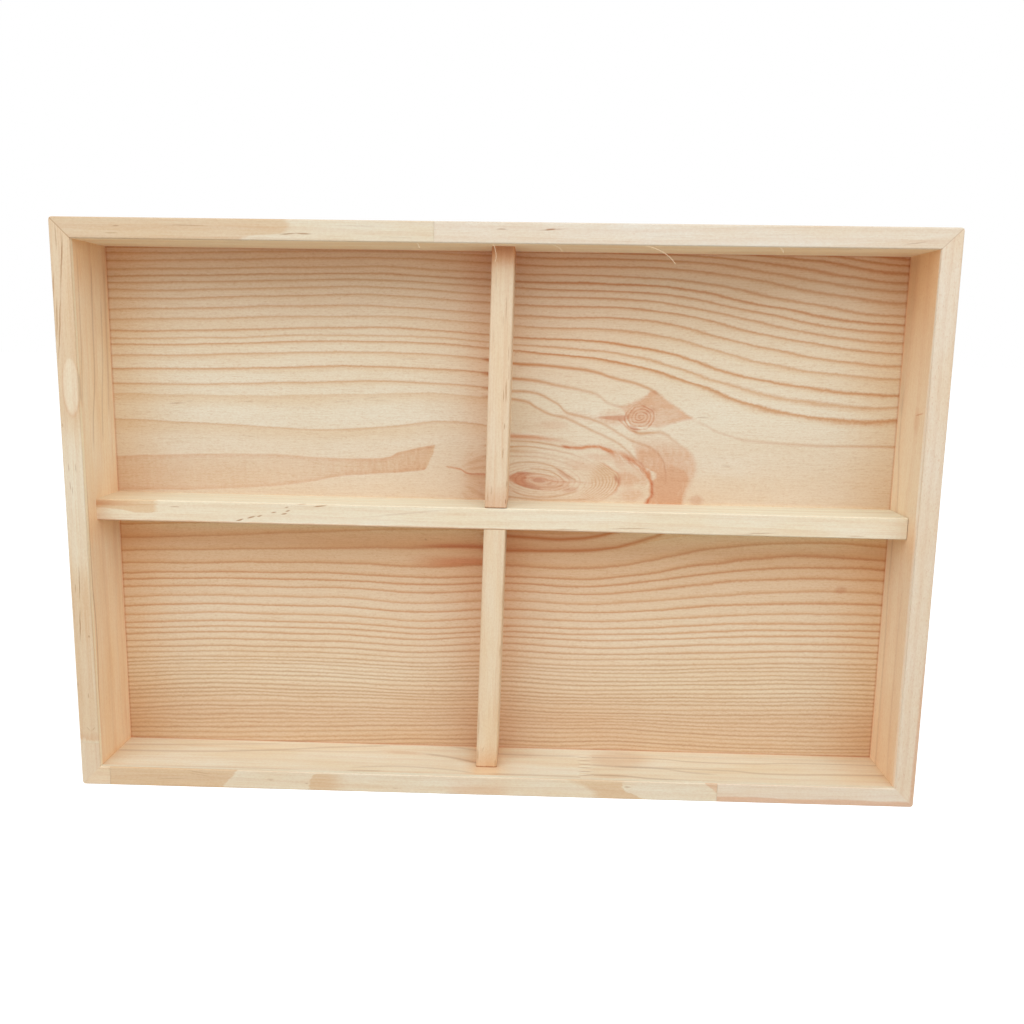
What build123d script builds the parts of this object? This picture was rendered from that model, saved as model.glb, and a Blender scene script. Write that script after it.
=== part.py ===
from build123d import *
import os

# Open display case in pine, standing on its long side.
# Four mitred boards make the frame, a full-length shelf and two short dividers make four
# compartments, and a thin back panel lies in a rabbet behind them.
# The boards are strips of edge-glued panel: a narrow front stave and a wide rear stave, each
# put together end to end from short lengths with finger joints.
# Origin: middle of the base. +Z is up and the open front looks along -Y. Millimetres.

os.makedirs("parts", exist_ok=True)

# Frame
case_width = 390.0
case_height = 260.0
case_depth = 40.0
board_thickness = 9.0
corner_round = 1.4
arris_round = 0.6

# Back panel and the rabbet that it lies in
panel_thickness = 4.0
panel_inset = 1.0
panel_clearance = 0.3
rabbet_width = 5.0

# Shelf, set by hand and a little lower at its right-hand end
shelf_thickness = 10.0
shelf_setback = 11.0
shelf_left_rise = 0.5
shelf_right_rise = -0.9
shelf_end_gap = 0.3
shelf_arris = 0.6

# Dividers, set by hand: each end has its own distance from the middle of the case
divider_thickness = 10.0
divider_setback = 11.0
divider_arris = 0.9
divider_foot_gap = 0.2
upper_divider_head = 0.9
upper_divider_foot = -1.1
lower_divider_head = -1.4
lower_divider_foot = -3.9

# Staves, and the finger joints between the lengths that they are glued up from
front_stave_depth = 2.5
finger_pitch = 4.1
finger_length = 7.0
finger_tip_width = 0.6
finger_tip_gap = 0.1
rear_first_finger = 2.5

# Each end length runs from the end of the case to its joint line
bottom_rear_right_length = 147.5
bottom_front_left_length = 13.5
bottom_front_right_length = 90.6
top_front_left_length = 166.7
left_front_lower_length = 20.7

# Brads: flat wire with a T head and a chisel point, driven a little below the surface
brad_width = 1.25
brad_wire_thickness = 1.0
brad_head_width = 1.9
brad_head_height = 0.5
brad_point = 1.6
brad_sink = 0.5
corner_brad_length = 20.0
shelf_brad_length = 25.0
divider_brad_length = 25.0
panel_brad_length = 15.0
corner_brad_front = 10.0
corner_brad_spacing = 18.0
shelf_brad_spacing = 12.0
divider_brad_spacing = 12.0
panel_brads_per_side = 4
rail_panel_brad_end = 30.0
stile_panel_brad_end = 45.0
shelf_panel_brad_reach = 95.0

# Places that follow from the sizes above
half_width = case_width / 2
inner_width = case_width - 2 * board_thickness
inner_height = case_height - 2 * board_thickness
middle_height = case_height / 2
front_y = -case_depth / 2
rear_y = case_depth / 2
panel_rear_y = rear_y - panel_inset
panel_front_y = panel_rear_y - panel_thickness
stave_line_y = front_y + front_stave_depth
cut_reach = case_width + case_height


def front_view(y):
    """Plane at depth y, seen from the front: local x is X and local y is Z."""
    return Plane.XZ.offset(-y)


# Local x runs along the board and local y runs from the front of the case to its back
along_rail = Plane.XY
along_stile = Plane(origin=(0, 0, 0), x_dir=(0, 0, 1), z_dir=(-1, 0, 0))


def shelf_middle(x):
    """Height of the middle of the shelf's thickness at x."""
    share = (x + inner_width / 2) / inner_width
    rise = shelf_left_rise + share * (shelf_right_rise - shelf_left_rise)
    return middle_height + rise


# Brads -------------------------------------------------------------------------------


def brad_outline(length, top):
    """Side view of a brad driven along local -y, the wood's surface being y = 0."""
    half_head = brad_head_width / 2
    half_wire = brad_width / 2
    neck = -brad_sink - brad_head_height
    tip = -brad_sink - length
    shoulder = tip + brad_point
    return [
        (-half_head, top),
        (half_head, top),
        (half_head, neck),
        (half_wire, neck),
        (half_wire, shoulder),
        (0, tip),
        (-half_wire, shoulder),
        (-half_wire, neck),
        (-half_head, neck),
    ]


def driven_into(place, grain, outward):
    """Plane of a brad at a place on the surface, its head lying along the grain."""
    return Plane(origin=place, x_dir=grain, z_dir=Vector(*grain).cross(Vector(*outward)))


def brad_set(planes, length, top):
    """One solid per plane: brads with their tops below the surface, or their holes up past it."""
    with BuildPart() as brads:
        for plane in planes:
            with BuildSketch(plane):
                with BuildLine():
                    Polyline(*brad_outline(length, top), close=True)
                make_face()
            extrude(amount=brad_wire_thickness / 2, both=True)
    return brads.part


left = (-1, 0, 0)
right = (1, 0, 0)
back = (0, 1, 0)
up = (0, 0, 1)
down = (0, 0, -1)
level_grain = (1, 0, 0)
upright_grain = (0, 0, 1)

# Two through each stile into each rail's mitred end
corner_planes = []
for brad_z in (board_thickness / 2, case_height - board_thickness / 2):
    for row in range(2):
        brad_y = front_y + corner_brad_front + row * corner_brad_spacing
        corner_planes.append(driven_into((-half_width, brad_y, brad_z), upright_grain, left))
        corner_planes.append(driven_into((half_width, brad_y, brad_z), upright_grain, right))

# Two through each stile into the shelf
shelf_planes = []
shelf_mid_y = (front_y + shelf_setback + panel_front_y) / 2
for side in (-1, 1):
    brad_y = shelf_mid_y + side * shelf_brad_spacing / 2
    left_place = (-half_width, brad_y, shelf_middle(-inner_width / 2))
    right_place = (half_width, brad_y, shelf_middle(inner_width / 2))
    shelf_planes.append(driven_into(left_place, upright_grain, left))
    shelf_planes.append(driven_into(right_place, upright_grain, right))

# Two down through the top rail, two up through the shelf and two up through the bottom rail
divider_planes = []
divider_mid_y = (front_y + divider_setback + panel_front_y) / 2
shelf_underside = shelf_middle(upper_divider_foot) - shelf_thickness / 2
for side in (-1, 1):
    brad_y = divider_mid_y + side * divider_brad_spacing / 2
    head_place = (upper_divider_head, brad_y, case_height)
    shelf_place = (upper_divider_foot, brad_y, shelf_underside)
    base_place = (lower_divider_foot, brad_y, 0)
    divider_planes.append(driven_into(head_place, level_grain, up))
    divider_planes.append(driven_into(shelf_place, level_grain, down))
    divider_planes.append(driven_into(base_place, level_grain, down))

# Round the back panel into the frame, evenly spaced along each side, and into the shelf and dividers
panel_planes = []
lap_inset = board_thickness - rabbet_width / 2
for index in range(panel_brads_per_side):
    share = index / (panel_brads_per_side - 1)
    brad_x = rail_panel_brad_end - half_width + share * (case_width - 2 * rail_panel_brad_end)
    brad_z = stile_panel_brad_end + share * (case_height - 2 * stile_panel_brad_end)
    for rail_z in (lap_inset, case_height - lap_inset):
        panel_planes.append(driven_into((brad_x, panel_rear_y, rail_z), level_grain, back))
    for stile_x in (lap_inset - half_width, half_width - lap_inset):
        panel_planes.append(driven_into((stile_x, panel_rear_y, brad_z), upright_grain, back))
for brad_x in (-shelf_panel_brad_reach, shelf_panel_brad_reach):
    brad_place = (brad_x, panel_rear_y, shelf_middle(brad_x))
    panel_planes.append(driven_into(brad_place, level_grain, back))
upper_mid_x = (upper_divider_head + upper_divider_foot) / 2
upper_mid_z = (case_height - board_thickness + shelf_middle(0) + shelf_thickness / 2) / 2
lower_mid_x = (lower_divider_head + lower_divider_foot) / 2
lower_mid_z = (board_thickness + shelf_middle(0) - shelf_thickness / 2) / 2
for brad_x, brad_z in ((upper_mid_x, upper_mid_z), (lower_mid_x, lower_mid_z)):
    panel_planes.append(driven_into((brad_x, panel_rear_y, brad_z), level_grain, back))

brad_runs = {
    "corner_brads": (corner_planes, corner_brad_length),
    "shelf_brads": (shelf_planes, shelf_brad_length),
    "divider_brads": (divider_planes, divider_brad_length),
    "back_panel_brads": (panel_planes, panel_brad_length),
}

# Every hole in one tool, each open to the surface that its brad was driven from
with BuildPart() as brad_holes:
    for planes, length in brad_runs.values():
        add(brad_set(planes, length, brad_sink))


# Frame -------------------------------------------------------------------------------

# The glued-up frame: rabbeted behind, its corners and long edges eased by sanding
with BuildPart() as frame_stock:
    with BuildSketch(front_view(rear_y)):
        with Locations((0, middle_height)):
            RectangleRounded(case_width, case_height, corner_round)
            Rectangle(inner_width, inner_height, mode=Mode.SUBTRACT)
    extrude(amount=case_depth)
    fillet(frame_stock.faces().sort_by(Axis.Y)[0].edges(), arris_round)
    rear_rim = frame_stock.faces().sort_by(Axis.Y)[-1]
    fillet(rear_rim.outer_wire().edges(), arris_round)
    with BuildSketch(front_view(rear_y)):
        with Locations((0, middle_height)):
            Rectangle(inner_width + 2 * rabbet_width, inner_height + 2 * rabbet_width)
    extrude(amount=panel_inset + panel_thickness, mode=Mode.SUBTRACT)


def mitred_board(corners):
    """The part of the frame between two mitre planes, given as a front-view outline."""
    with BuildPart() as board:
        add(frame_stock.part)
        with BuildSketch(front_view(rear_y)):
            with BuildLine():
                Polyline(*corners, close=True)
            make_face()
        extrude(amount=case_depth, mode=Mode.INTERSECT)
    return board.part


# The 45 degree mitre planes of each end meet at half the case's height
left_bottom = (-half_width, 0)
left_top = (-half_width, case_height)
right_bottom = (half_width, 0)
right_top = (half_width, case_height)
left_meeting = (middle_height - half_width, middle_height)
right_meeting = (half_width - middle_height, middle_height)
bottom_rail = mitred_board([left_bottom, right_bottom, right_meeting, left_meeting])
top_rail = mitred_board([left_top, right_top, right_meeting, left_meeting])
left_stile = mitred_board([left_bottom, left_top, left_meeting])
right_stile_board = mitred_board([right_bottom, right_top, right_meeting])


def finger_row(root, tip, first_centre):
    """Outline of a row of glued fingers, from its root line to its tip line."""
    half_tip = finger_tip_width / 2
    half_root = finger_pitch / 2 - half_tip
    blunt_half = half_tip + (half_root - half_tip) * finger_tip_gap / finger_length
    blunt_tip = tip + finger_tip_gap if tip < root else tip - finger_tip_gap
    count = int(case_depth / finger_pitch) + 4
    row = []
    for index in range(count):
        centre = first_centre + (index - 1) * finger_pitch
        row.append((root, centre - half_root))
        row.append((blunt_tip, centre - blunt_half))
        row.append((blunt_tip, centre + blunt_half))
        row.append((root, centre + half_root))
    return row


def low_side(joint, first_centre):
    """End of the length that lies below a joint: its fingers reach up to the joint line."""
    return finger_row(joint - finger_length, joint, first_centre)


def high_side(joint, first_centre):
    """End of the length above a joint: its fingers fill the gaps of the other row."""
    return finger_row(joint, joint - finger_length, first_centre - finger_pitch / 2)


low_end = [(-cut_reach, -cut_reach), (-cut_reach, cut_reach)]
high_end = [(cut_reach, -cut_reach), (cut_reach, cut_reach)]


def stave_length(board, plane, start, end, near_y, far_y):
    """One glued length of a board, between two end outlines and two depths."""
    with BuildPart() as piece:
        add(board)
        with BuildSketch(plane):
            with BuildLine():
                Polyline(*start, *reversed(end), close=True)
            make_face()
            with Locations((0, (near_y + far_y) / 2)):
                Rectangle(2 * cut_reach, far_y - near_y, mode=Mode.INTERSECT)
        extrude(amount=cut_reach, both=True, mode=Mode.INTERSECT)
        add(brad_holes.part, mode=Mode.SUBTRACT)
    return piece.part


front_cut = (front_y, stave_line_y)
rear_cut = (stave_line_y, rear_y)
rear_centre = stave_line_y + rear_first_finger
bottom_rear_joint = half_width - bottom_rear_right_length
bottom_front_left_joint = bottom_front_left_length - half_width
bottom_front_right_joint = half_width - bottom_front_right_length
top_front_joint = top_front_left_length - half_width
left_front_joint = left_front_lower_length
pieces = {
    "bottom_rail_rear_left": stave_length(
        bottom_rail, along_rail, low_end, low_side(bottom_rear_joint, rear_centre), *rear_cut
    ),
    "bottom_rail_rear_right": stave_length(
        bottom_rail, along_rail, high_side(bottom_rear_joint, rear_centre), high_end, *rear_cut
    ),
    "bottom_rail_front_left": stave_length(
        bottom_rail, along_rail, low_end, low_side(bottom_front_left_joint, front_y), *front_cut
    ),
    "bottom_rail_front_middle": stave_length(
        bottom_rail,
        along_rail,
        high_side(bottom_front_left_joint, front_y),
        low_side(bottom_front_right_joint, front_y),
        *front_cut,
    ),
    "bottom_rail_front_right": stave_length(
        bottom_rail, along_rail, high_side(bottom_front_right_joint, front_y), high_end, *front_cut
    ),
    "top_rail_rear": stave_length(top_rail, along_rail, low_end, high_end, *rear_cut),
    "top_rail_front_left": stave_length(
        top_rail, along_rail, low_end, low_side(top_front_joint, front_y), *front_cut
    ),
    "top_rail_front_right": stave_length(
        top_rail, along_rail, high_side(top_front_joint, front_y), high_end, *front_cut
    ),
    "left_stile_rear": stave_length(left_stile, along_stile, low_end, high_end, *rear_cut),
    "left_stile_front_lower": stave_length(
        left_stile, along_stile, low_end, low_side(left_front_joint, front_y), *front_cut
    ),
    "left_stile_front_upper": stave_length(
        left_stile, along_stile, high_side(left_front_joint, front_y), high_end, *front_cut
    ),
    "right_stile": stave_length(right_stile_board, along_stile, low_end, high_end, front_y, rear_y),
}

# Shelf -------------------------------------------------------------------------------

with BuildPart() as shelf:
    shelf_left_x = -inner_width / 2
    shelf_right_x = inner_width / 2 - shelf_end_gap
    with BuildSketch(front_view(panel_front_y)):
        with BuildLine():
            Polyline(
                (shelf_left_x, shelf_middle(shelf_left_x) - shelf_thickness / 2),
                (shelf_right_x, shelf_middle(shelf_right_x) - shelf_thickness / 2),
                (shelf_right_x, shelf_middle(shelf_right_x) + shelf_thickness / 2),
                (shelf_left_x, shelf_middle(shelf_left_x) + shelf_thickness / 2),
                close=True,
            )
        make_face()
    extrude(amount=panel_front_y - front_y - shelf_setback)
    shelf_front = shelf.faces().sort_by(Axis.Y)[0]
    fillet(shelf_front.edges().sort_by(SortBy.LENGTH)[-2:], shelf_arris)
    add(brad_holes.part, mode=Mode.SUBTRACT)
pieces["shelf"] = shelf.part

# Dividers ----------------------------------------------------------------------------


def divider(head_x, head_line, foot_x, foot_line):
    """An upright board whose two ends are cut to the lines that they meet."""
    half = divider_thickness / 2
    with BuildPart() as board:
        with BuildSketch(front_view(panel_front_y)):
            with BuildLine():
                Polyline(
                    (foot_x - half, foot_line(foot_x - half)),
                    (foot_x + half, foot_line(foot_x + half)),
                    (head_x + half, head_line(head_x + half)),
                    (head_x - half, head_line(head_x - half)),
                    close=True,
                )
            make_face()
        extrude(amount=panel_front_y - front_y - divider_setback)
        divider_front = board.faces().sort_by(Axis.Y)[0]
        fillet(divider_front.edges().sort_by(SortBy.LENGTH)[-2:], divider_arris)
        add(brad_holes.part, mode=Mode.SUBTRACT)
    return board.part


def top_rail_underside(x):
    return case_height - board_thickness


def shelf_top_with_gap(x):
    return shelf_middle(x) + shelf_thickness / 2 + divider_foot_gap


def shelf_bottom(x):
    return shelf_middle(x) - shelf_thickness / 2


def bottom_rail_top(x):
    return board_thickness


pieces["upper_divider"] = divider(
    upper_divider_head, top_rail_underside, upper_divider_foot, shelf_top_with_gap
)
pieces["lower_divider"] = divider(lower_divider_head, shelf_bottom, lower_divider_foot, bottom_rail_top)

# Back panel --------------------------------------------------------------------------

with BuildPart() as back_panel:
    panel_lap = rabbet_width - panel_clearance
    with BuildSketch(front_view(panel_rear_y)):
        with Locations((0, middle_height)):
            Rectangle(inner_width + 2 * panel_lap, inner_height + 2 * panel_lap)
    extrude(amount=panel_thickness)
    add(brad_holes.part, mode=Mode.SUBTRACT)
pieces["back_panel"] = back_panel.part

# Brads and output --------------------------------------------------------------------

for name, (planes, length) in brad_runs.items():
    pieces[name] = brad_set(planes, length, -brad_sink)

for name, piece in pieces.items():
    piece.label = name
    export_step(piece, f"parts/{name}.step")
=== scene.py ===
import math
import bpy
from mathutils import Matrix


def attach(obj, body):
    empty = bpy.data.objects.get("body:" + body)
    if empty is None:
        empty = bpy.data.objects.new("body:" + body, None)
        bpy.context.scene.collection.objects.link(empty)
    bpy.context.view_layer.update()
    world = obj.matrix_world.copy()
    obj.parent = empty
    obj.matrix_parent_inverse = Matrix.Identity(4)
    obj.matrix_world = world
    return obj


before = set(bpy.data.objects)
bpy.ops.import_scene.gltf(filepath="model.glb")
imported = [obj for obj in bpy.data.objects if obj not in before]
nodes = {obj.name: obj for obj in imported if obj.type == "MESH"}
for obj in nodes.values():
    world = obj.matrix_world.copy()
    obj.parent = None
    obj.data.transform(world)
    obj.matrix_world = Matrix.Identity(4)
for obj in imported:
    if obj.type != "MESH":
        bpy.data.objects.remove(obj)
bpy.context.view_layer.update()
print("frame loaded:", len(nodes), "nodes")

mm = 0.001
fullTurn = 6.2832
bellBase = 0.3679                        # 1 / e


def tone(red, green, blue):
    # screen values 0 to 255 to the linear colour that the shader takes
    def linear(level):
        level /= 255
        return level / 12.92 if level <= 0.04045 else ((level + 0.055) / 1.055) ** 2.4
    return (linear(red), linear(green), linear(blue), 1.0)


# Shader arithmetic: a Number is one value that changes over the surface

class Number:
    def __init__(self, shader, socket):
        self.shader, self.socket = shader, socket

    def __add__(self, other):
        return self.shader.math("ADD", self, other)

    def __radd__(self, other):
        return self.shader.math("ADD", other, self)

    def __sub__(self, other):
        return self.shader.math("SUBTRACT", self, other)

    def __rsub__(self, other):
        return self.shader.math("SUBTRACT", other, self)

    def __mul__(self, other):
        return self.shader.math("MULTIPLY", self, other)

    def __rmul__(self, other):
        return self.shader.math("MULTIPLY", other, self)

    def __truediv__(self, other):
        return self.shader.math("DIVIDE", self, other)


def feed(tree, socket, value):                                  # links a value to a socket or sets it there
    if isinstance(value, Number):
        value = value.socket
    if isinstance(value, bpy.types.NodeSocket):
        tree.links.new(value, socket)
    else:
        socket.default_value = value


def addNode(tree, kind, feeds=None, **settings):
    made = tree.nodes.new(kind)
    for name, value in settings.items():
        setattr(made, name, value)
    for key, value in (feeds or {}).items():
        feed(tree, made.inputs[key], value)
    return made


class Shader:
    def __init__(self, name):
        self.material = bpy.data.materials.new(name)
        self.material.use_nodes = True
        self.tree = self.material.node_tree
        self.tree.nodes.clear()
        place = self.node("ShaderNodeTexCoord").outputs["Object"]
        self.point = self.vector("SCALE", place, scale=1 / mm)      # the surface point in mm
        self.x, self.y, self.z = self.split(self.point)

    def node(self, kind, feeds=None, **settings):
        return addNode(self.tree, kind, feeds, **settings)

    def math(self, operation, first, second=0.0, third=0.0):
        made = self.node("ShaderNodeMath", operation=operation)
        for socket, value in zip(made.inputs, (first, second, third)):
            feed(self.tree, socket, value)
        return Number(self, made.outputs[0])

    def vector(self, operation, first, second=None, third=None, scale=None):
        made = self.node("ShaderNodeVectorMath", operation=operation)
        for socket, value in zip(made.inputs, (first, second, third)):
            if value is not None:
                feed(self.tree, socket, value)
        if scale is not None:
            feed(self.tree, made.inputs["Scale"], scale)
        flat = operation in ("DOT_PRODUCT", "LENGTH")
        return Number(self, made.outputs["Value"]) if flat else made.outputs["Vector"]

    def wait(self, value, done):                                # the value, but after the other one
        return self.math("MULTIPLY_ADD", done, 1e-9, value)

    def startGroup(self, done, x, z):
        # what follows waits for one mask. Without this the renderer holds all the masks at once,
        # and past 255 of them it shows the panel black
        self.x, self.y, self.z = (self.wait(value, done) for value in (self.x, self.y, self.z))
        self.point = self.join(self.x, self.y, self.z)
        return self.wait(x, done), self.wait(z, done)

    def split(self, vector):
        made = self.node("ShaderNodeSeparateXYZ", {"Vector": vector})
        return [Number(self, made.outputs[axis]) for axis in "XYZ"]

    def join(self, x, y, z):
        return self.node("ShaderNodeCombineXYZ", {"X": x, "Y": y, "Z": z}).outputs[0]

    def ramp(self, value, start, end, low, high, kind="LINEAR"):
        made = self.node("ShaderNodeMapRange", {"Value": value, "From Min": start, "From Max": end,
                                                "To Min": low, "To Max": high}, interpolation_type=kind)
        return Number(self, made.outputs["Result"])

    def smooth(self, value, start, end, low=0.0, high=1.0):     # soft step from low to high
        return self.ramp(value, start, end, low, high, "SMOOTHSTEP")

    def curve(self, value, points, smooth=True):                # a line drawn through the points
        lowX, highX = points[0][0], points[-1][0]
        lowY = min(y for x, y in points)
        rangeY = max(max(y for x, y in points) - lowY, 0.001)
        made = self.node("ShaderNodeFloatCurve")
        drawn = made.mapping.curves[0]
        places = [((x - lowX) / (highX - lowX), (y - lowY) / rangeY) for x, y in points]
        for place in places[1:-1]:
            drawn.points.new(*place)
        for point, place in zip(drawn.points, places):
            point.location = place
            point.handle_type = "AUTO" if smooth else "VECTOR"
        made.mapping.update()
        feed(self.tree, made.inputs["Value"], (value - lowX) / (highX - lowX))
        return Number(self, made.outputs[0]) * rangeY + lowY

    def stops(self, value, tones):                              # colour changing along a value
        first, last = tones[0][0], tones[-1][0]
        made = self.node("ShaderNodeValToRGB", {"Fac": (value - first) / (last - first)})
        ramp = made.color_ramp
        while len(ramp.elements) < len(tones):
            ramp.elements.new(0.5)
        for stop, (place, colour) in zip(ramp.elements, tones):
            stop.position = (place - first) / (last - first)
            stop.color = tone(*colour)
        return made.outputs["Color"]

    def noise(self, point, size, detail, rough, shift, spread=1.0):
        # values round 0, from about -spread / 2 to spread / 2
        place = self.vector("MULTIPLY_ADD", point, tuple(1 / length for length in size),
                            (shift, shift * 0.7, shift * 1.3))
        made = self.node("ShaderNodeTexNoise", {"Vector": place, "Scale": 1.0, "Detail": detail,
                                                "Roughness": rough})
        return (Number(self, made.outputs["Fac"]) - 0.5) * (spread * 2)

    def bell(self, value):                                      # 1 at 0, falls off smoothly past 1
        return self.math("POWER", bellBase, value * value)

    def blend(self, first, second, amount, kind="MIX"):
        made = self.node("ShaderNodeMix", data_type="RGBA", blend_type=kind, clamp_factor=True)
        for key, value in (("Factor_Float", amount), ("A_Color", first), ("B_Color", second)):
            feed(self.tree, next(s for s in made.inputs if s.identifier == key), value)
        return next(s for s in made.outputs if s.identifier == "Result_Color")

    def stain(self, colour, tint, amount):                      # multiplies the colour by the tint
        return self.blend(colour, tint, amount, "MULTIPLY")

    def finish(self, colour, roughness, height, relief, metallic=0.0):
        bump = self.node("ShaderNodeBump", {"Height": height, "Strength": 1.0, "Distance": relief * mm})
        surface = self.node("ShaderNodeBsdfPrincipled", {
            "Base Color": colour, "Roughness": roughness, "Metallic": metallic,
            "Normal": bump.outputs[0]})
        self.node("ShaderNodeOutputMaterial", {"Surface": surface.outputs[0]})
        return self.material


# Camera, lamps and floor

camera = {"place": (0.01853, -0.44601, 0.20737), "turn": (80.3759, -0.8995, 1.7300), "lens": 34.089}
lights = {
    "keyWide": 5.6, "keyHigh": 2.4, "keyDistance": 1.7, "keyElevation": 43.0, "keyPower": 73.0,
    "skyStrength": 0.13,
    "floorSize": 30.0, "floorTone": 0.55, "floorGlow": 0.85, "whiteFrom": 0.5, "whiteTo": 1.6,
}


def seenDirectly(tree):                                         # 1 for camera, glossy and transmission rays
    path = addNode(tree, "ShaderNodeLightPath")
    kinds = ["Is Camera Ray", "Is Glossy Ray", "Is Transmission Ray"]
    seen = path.outputs[kinds[0]]
    for kind in kinds[1:]:
        either = addNode(tree, "ShaderNodeMath", {0: seen, 1: path.outputs[kind]}, operation="MAXIMUM")
        seen = either.outputs[0]
    return seen


def makeStage():
    data = bpy.data.cameras.new("camera")
    data.lens, data.sensor_width = camera["lens"], 36.0
    data.clip_start, data.clip_end = 0.01, 50.0
    seen = bpy.data.objects.new("camera", data)
    seen.location = camera["place"]
    seen.rotation_euler = [math.radians(angle) for angle in camera["turn"]]
    bpy.context.scene.collection.objects.link(seen)
    bpy.context.scene.camera = seen
    bpy.context.scene.view_settings.view_transform = "Standard"

    key = bpy.data.lights.new("softbox", "AREA")
    key.shape, key.size, key.size_y = "RECTANGLE", lights["keyWide"], lights["keyHigh"]
    key.energy = lights["keyPower"]
    lamp = bpy.data.objects.new("softbox", key)
    rise, far = math.radians(lights["keyElevation"]), lights["keyDistance"]
    lamp.location = (0, -far * math.cos(rise), 0.13 + far * math.sin(rise))
    lamp.rotation_euler = (math.pi / 2 - rise, 0, 0)
    bpy.context.scene.collection.objects.link(lamp)

    world = bpy.data.worlds.new("studio")
    bpy.context.scene.world = world
    world.use_nodes = True
    tree = world.node_tree
    tree.nodes.clear()
    strength = addNode(tree, "ShaderNodeMapRange", {
        "Value": seenDirectly(tree), "To Min": lights["skyStrength"], "To Max": 1.0})
    sky = addNode(tree, "ShaderNodeBackground", {
        "Color": (1, 1, 1, 1), "Strength": strength.outputs["Result"]})
    addNode(tree, "ShaderNodeOutputWorld", {"Surface": sky.outputs[0]})

    half = lights["floorSize"] / 2
    mesh = bpy.data.meshes.new("floor")
    mesh.from_pydata([(-half, -half, 0), (half, -half, 0), (half, half, 0), (-half, half, 0)], [],
                     [(0, 1, 2, 3)])
    floor = bpy.data.objects.new("floor", mesh)
    bpy.context.scene.collection.objects.link(floor)
    cloth = bpy.data.materials.new("white floor")
    cloth.use_nodes = True
    tree = cloth.node_tree
    tree.nodes.clear()
    matte = addNode(tree, "ShaderNodeBsdfDiffuse", {"Color": (lights["floorTone"],) * 3 + (1,)})
    # the cloth is plain white further out, so it has no edge against the backdrop
    place = addNode(tree, "ShaderNodeTexCoord").outputs["Object"]
    away = addNode(tree, "ShaderNodeVectorMath", {0: place}, operation="LENGTH")
    level = addNode(tree, "ShaderNodeMapRange", {
        "Value": away.outputs["Value"], "From Min": lights["whiteFrom"], "From Max": lights["whiteTo"],
        "To Min": lights["floorGlow"], "To Max": 1.0})
    amount = addNode(tree, "ShaderNodeMath", {0: seenDirectly(tree), 1: level.outputs["Result"]},
                     operation="MULTIPLY")
    glow = addNode(tree, "ShaderNodeEmission", {"Strength": amount.outputs[0]})
    both = addNode(tree, "ShaderNodeAddShader", {0: matte.outputs[0], 1: glow.outputs[0]})
    addNode(tree, "ShaderNodeOutputMaterial", {"Surface": both.outputs[0]})
    mesh.materials.append(cloth)


makeStage()
print("camera, lamps and floor in place")

# Pine tints, each multiplied into the pale wood
lateTint = (0.71, 0.36, 0.14, 1)         # yearly ring lines
tanTint = (0.90, 0.765, 0.64, 1)         # broad darker late wood, also painted shade at the dividers' ends
roseTint = (0.87, 0.62, 0.50, 1)         # reddish wood round knots, also painted shade under the shelf and at the dividers' ends
knotAndCreaseTint = (0.70, 0.33, 0.21, 1)         # knots and bark pockets, and painted shade in the panel's creases
heartTint = (0.80, 0.42, 0.26, 1)        # heart line and cracks of the big knot
resinTint = (0.55, 0.36, 0.24, 1)        # short resin dashes and dark joint lines
umberTint = (0.66, 0.56, 0.50, 1)        # fine rings low on the back panel
cornerShadeTint = (0.98, 0.74, 0.55, 1)         # painted shade in the inner corners
cloudTint = (0.97, 0.92, 0.86, 1)        # large cloudy patches
panelEdgeShadeTint = (1.0, 0.92, 0.83, 1)     # painted shade on the back panel toward its sides
dividerShadeTint = (0.958, 0.81, 0.736, 1)    # painted shade on the back panel beside the dividers
shelfShadeTint = (0.96, 0.86, 0.80, 1)        # painted shade on the back panel under the shelf
earlyTint = (0.96, 0.88, 0.79, 1)        # the heart side of each ring
fibreTint = (0.93, 0.88, 0.82, 1)        # fine fibre, grit and flecks of the back panel
gritTint = (0.95, 0.90, 0.86, 1)
fleckTint = (0.93, 0.86, 0.80, 1)
streakTint = (0.92, 0.77, 0.64, 1)       # streaks, fibre and flecks of the boards
boardFibreTint = (0.94, 0.88, 0.82, 1)
boardFleckTint = (0.93, 0.82, 0.76, 1)
combLight = (1.06, 1.09, 1.12, 1)        # pale wood between the glue lines
daylight = (1.02, 1.045, 1.06, 1)        # the boards are slightly cooler than the panel

# Places on the case, in mm
frontFace = -19.2                        # the frame's front edge
shelfBand = (127, 129)                   # between the upper and the lower half of the panel
heartLeft, heartRight = -2, 2            # the upper divider hides the panel between these


def swells(s, humps):                                           # sum of the soft swells in the list
    height = None
    for lift, midX, reachX, midZ, reachZ in humps:
        part = s.vector("MULTIPLY_ADD", s.point, (1 / reachX, 0, 1 / reachZ),
                        (-midX / reachX, 0, -midZ / reachZ))
        size = s.vector("DOT_PRODUCT", part, part)
        bell = s.math("POWER", bellBase, size)
        height = bell * lift if height is None else s.math("MULTIPLY_ADD", bell, lift, height)
    return height


def ringLines(s, height, rings, outward, seed):
    # dark late-wood lines at the given heights, soft on the side of the heart and sharp outside
    order = sorted(rings)
    count = s.curve(height, [(h, i) for i, h in enumerate(order)], smooth=False)
    gaps = []
    for i in range(len(order)):
        before, after = max(i - 1, 0), min(i + 1, len(order) - 1)
        gaps.append((order[after] - order[before]) / (after - before))
    gap = s.curve(height, list(zip(order, gaps)), smooth=False)
    nearest = s.math("ROUND", count)
    distance = (count - nearest) * gap * outward
    outside = s.math("GREATER_THAN", distance, 0.0)
    width = s.ramp(outside, 0, 1, 0.62, 0.38)
    line = s.bell(distance / width)
    pick = s.node("ShaderNodeTexWhiteNoise", {"W": nearest + seed}, noise_dimensions="1D").outputs["Value"]
    strength = s.ramp(Number(s, pick), 0, 1, 0.5, 0.95)
    return line * strength, distance, gap


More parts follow.
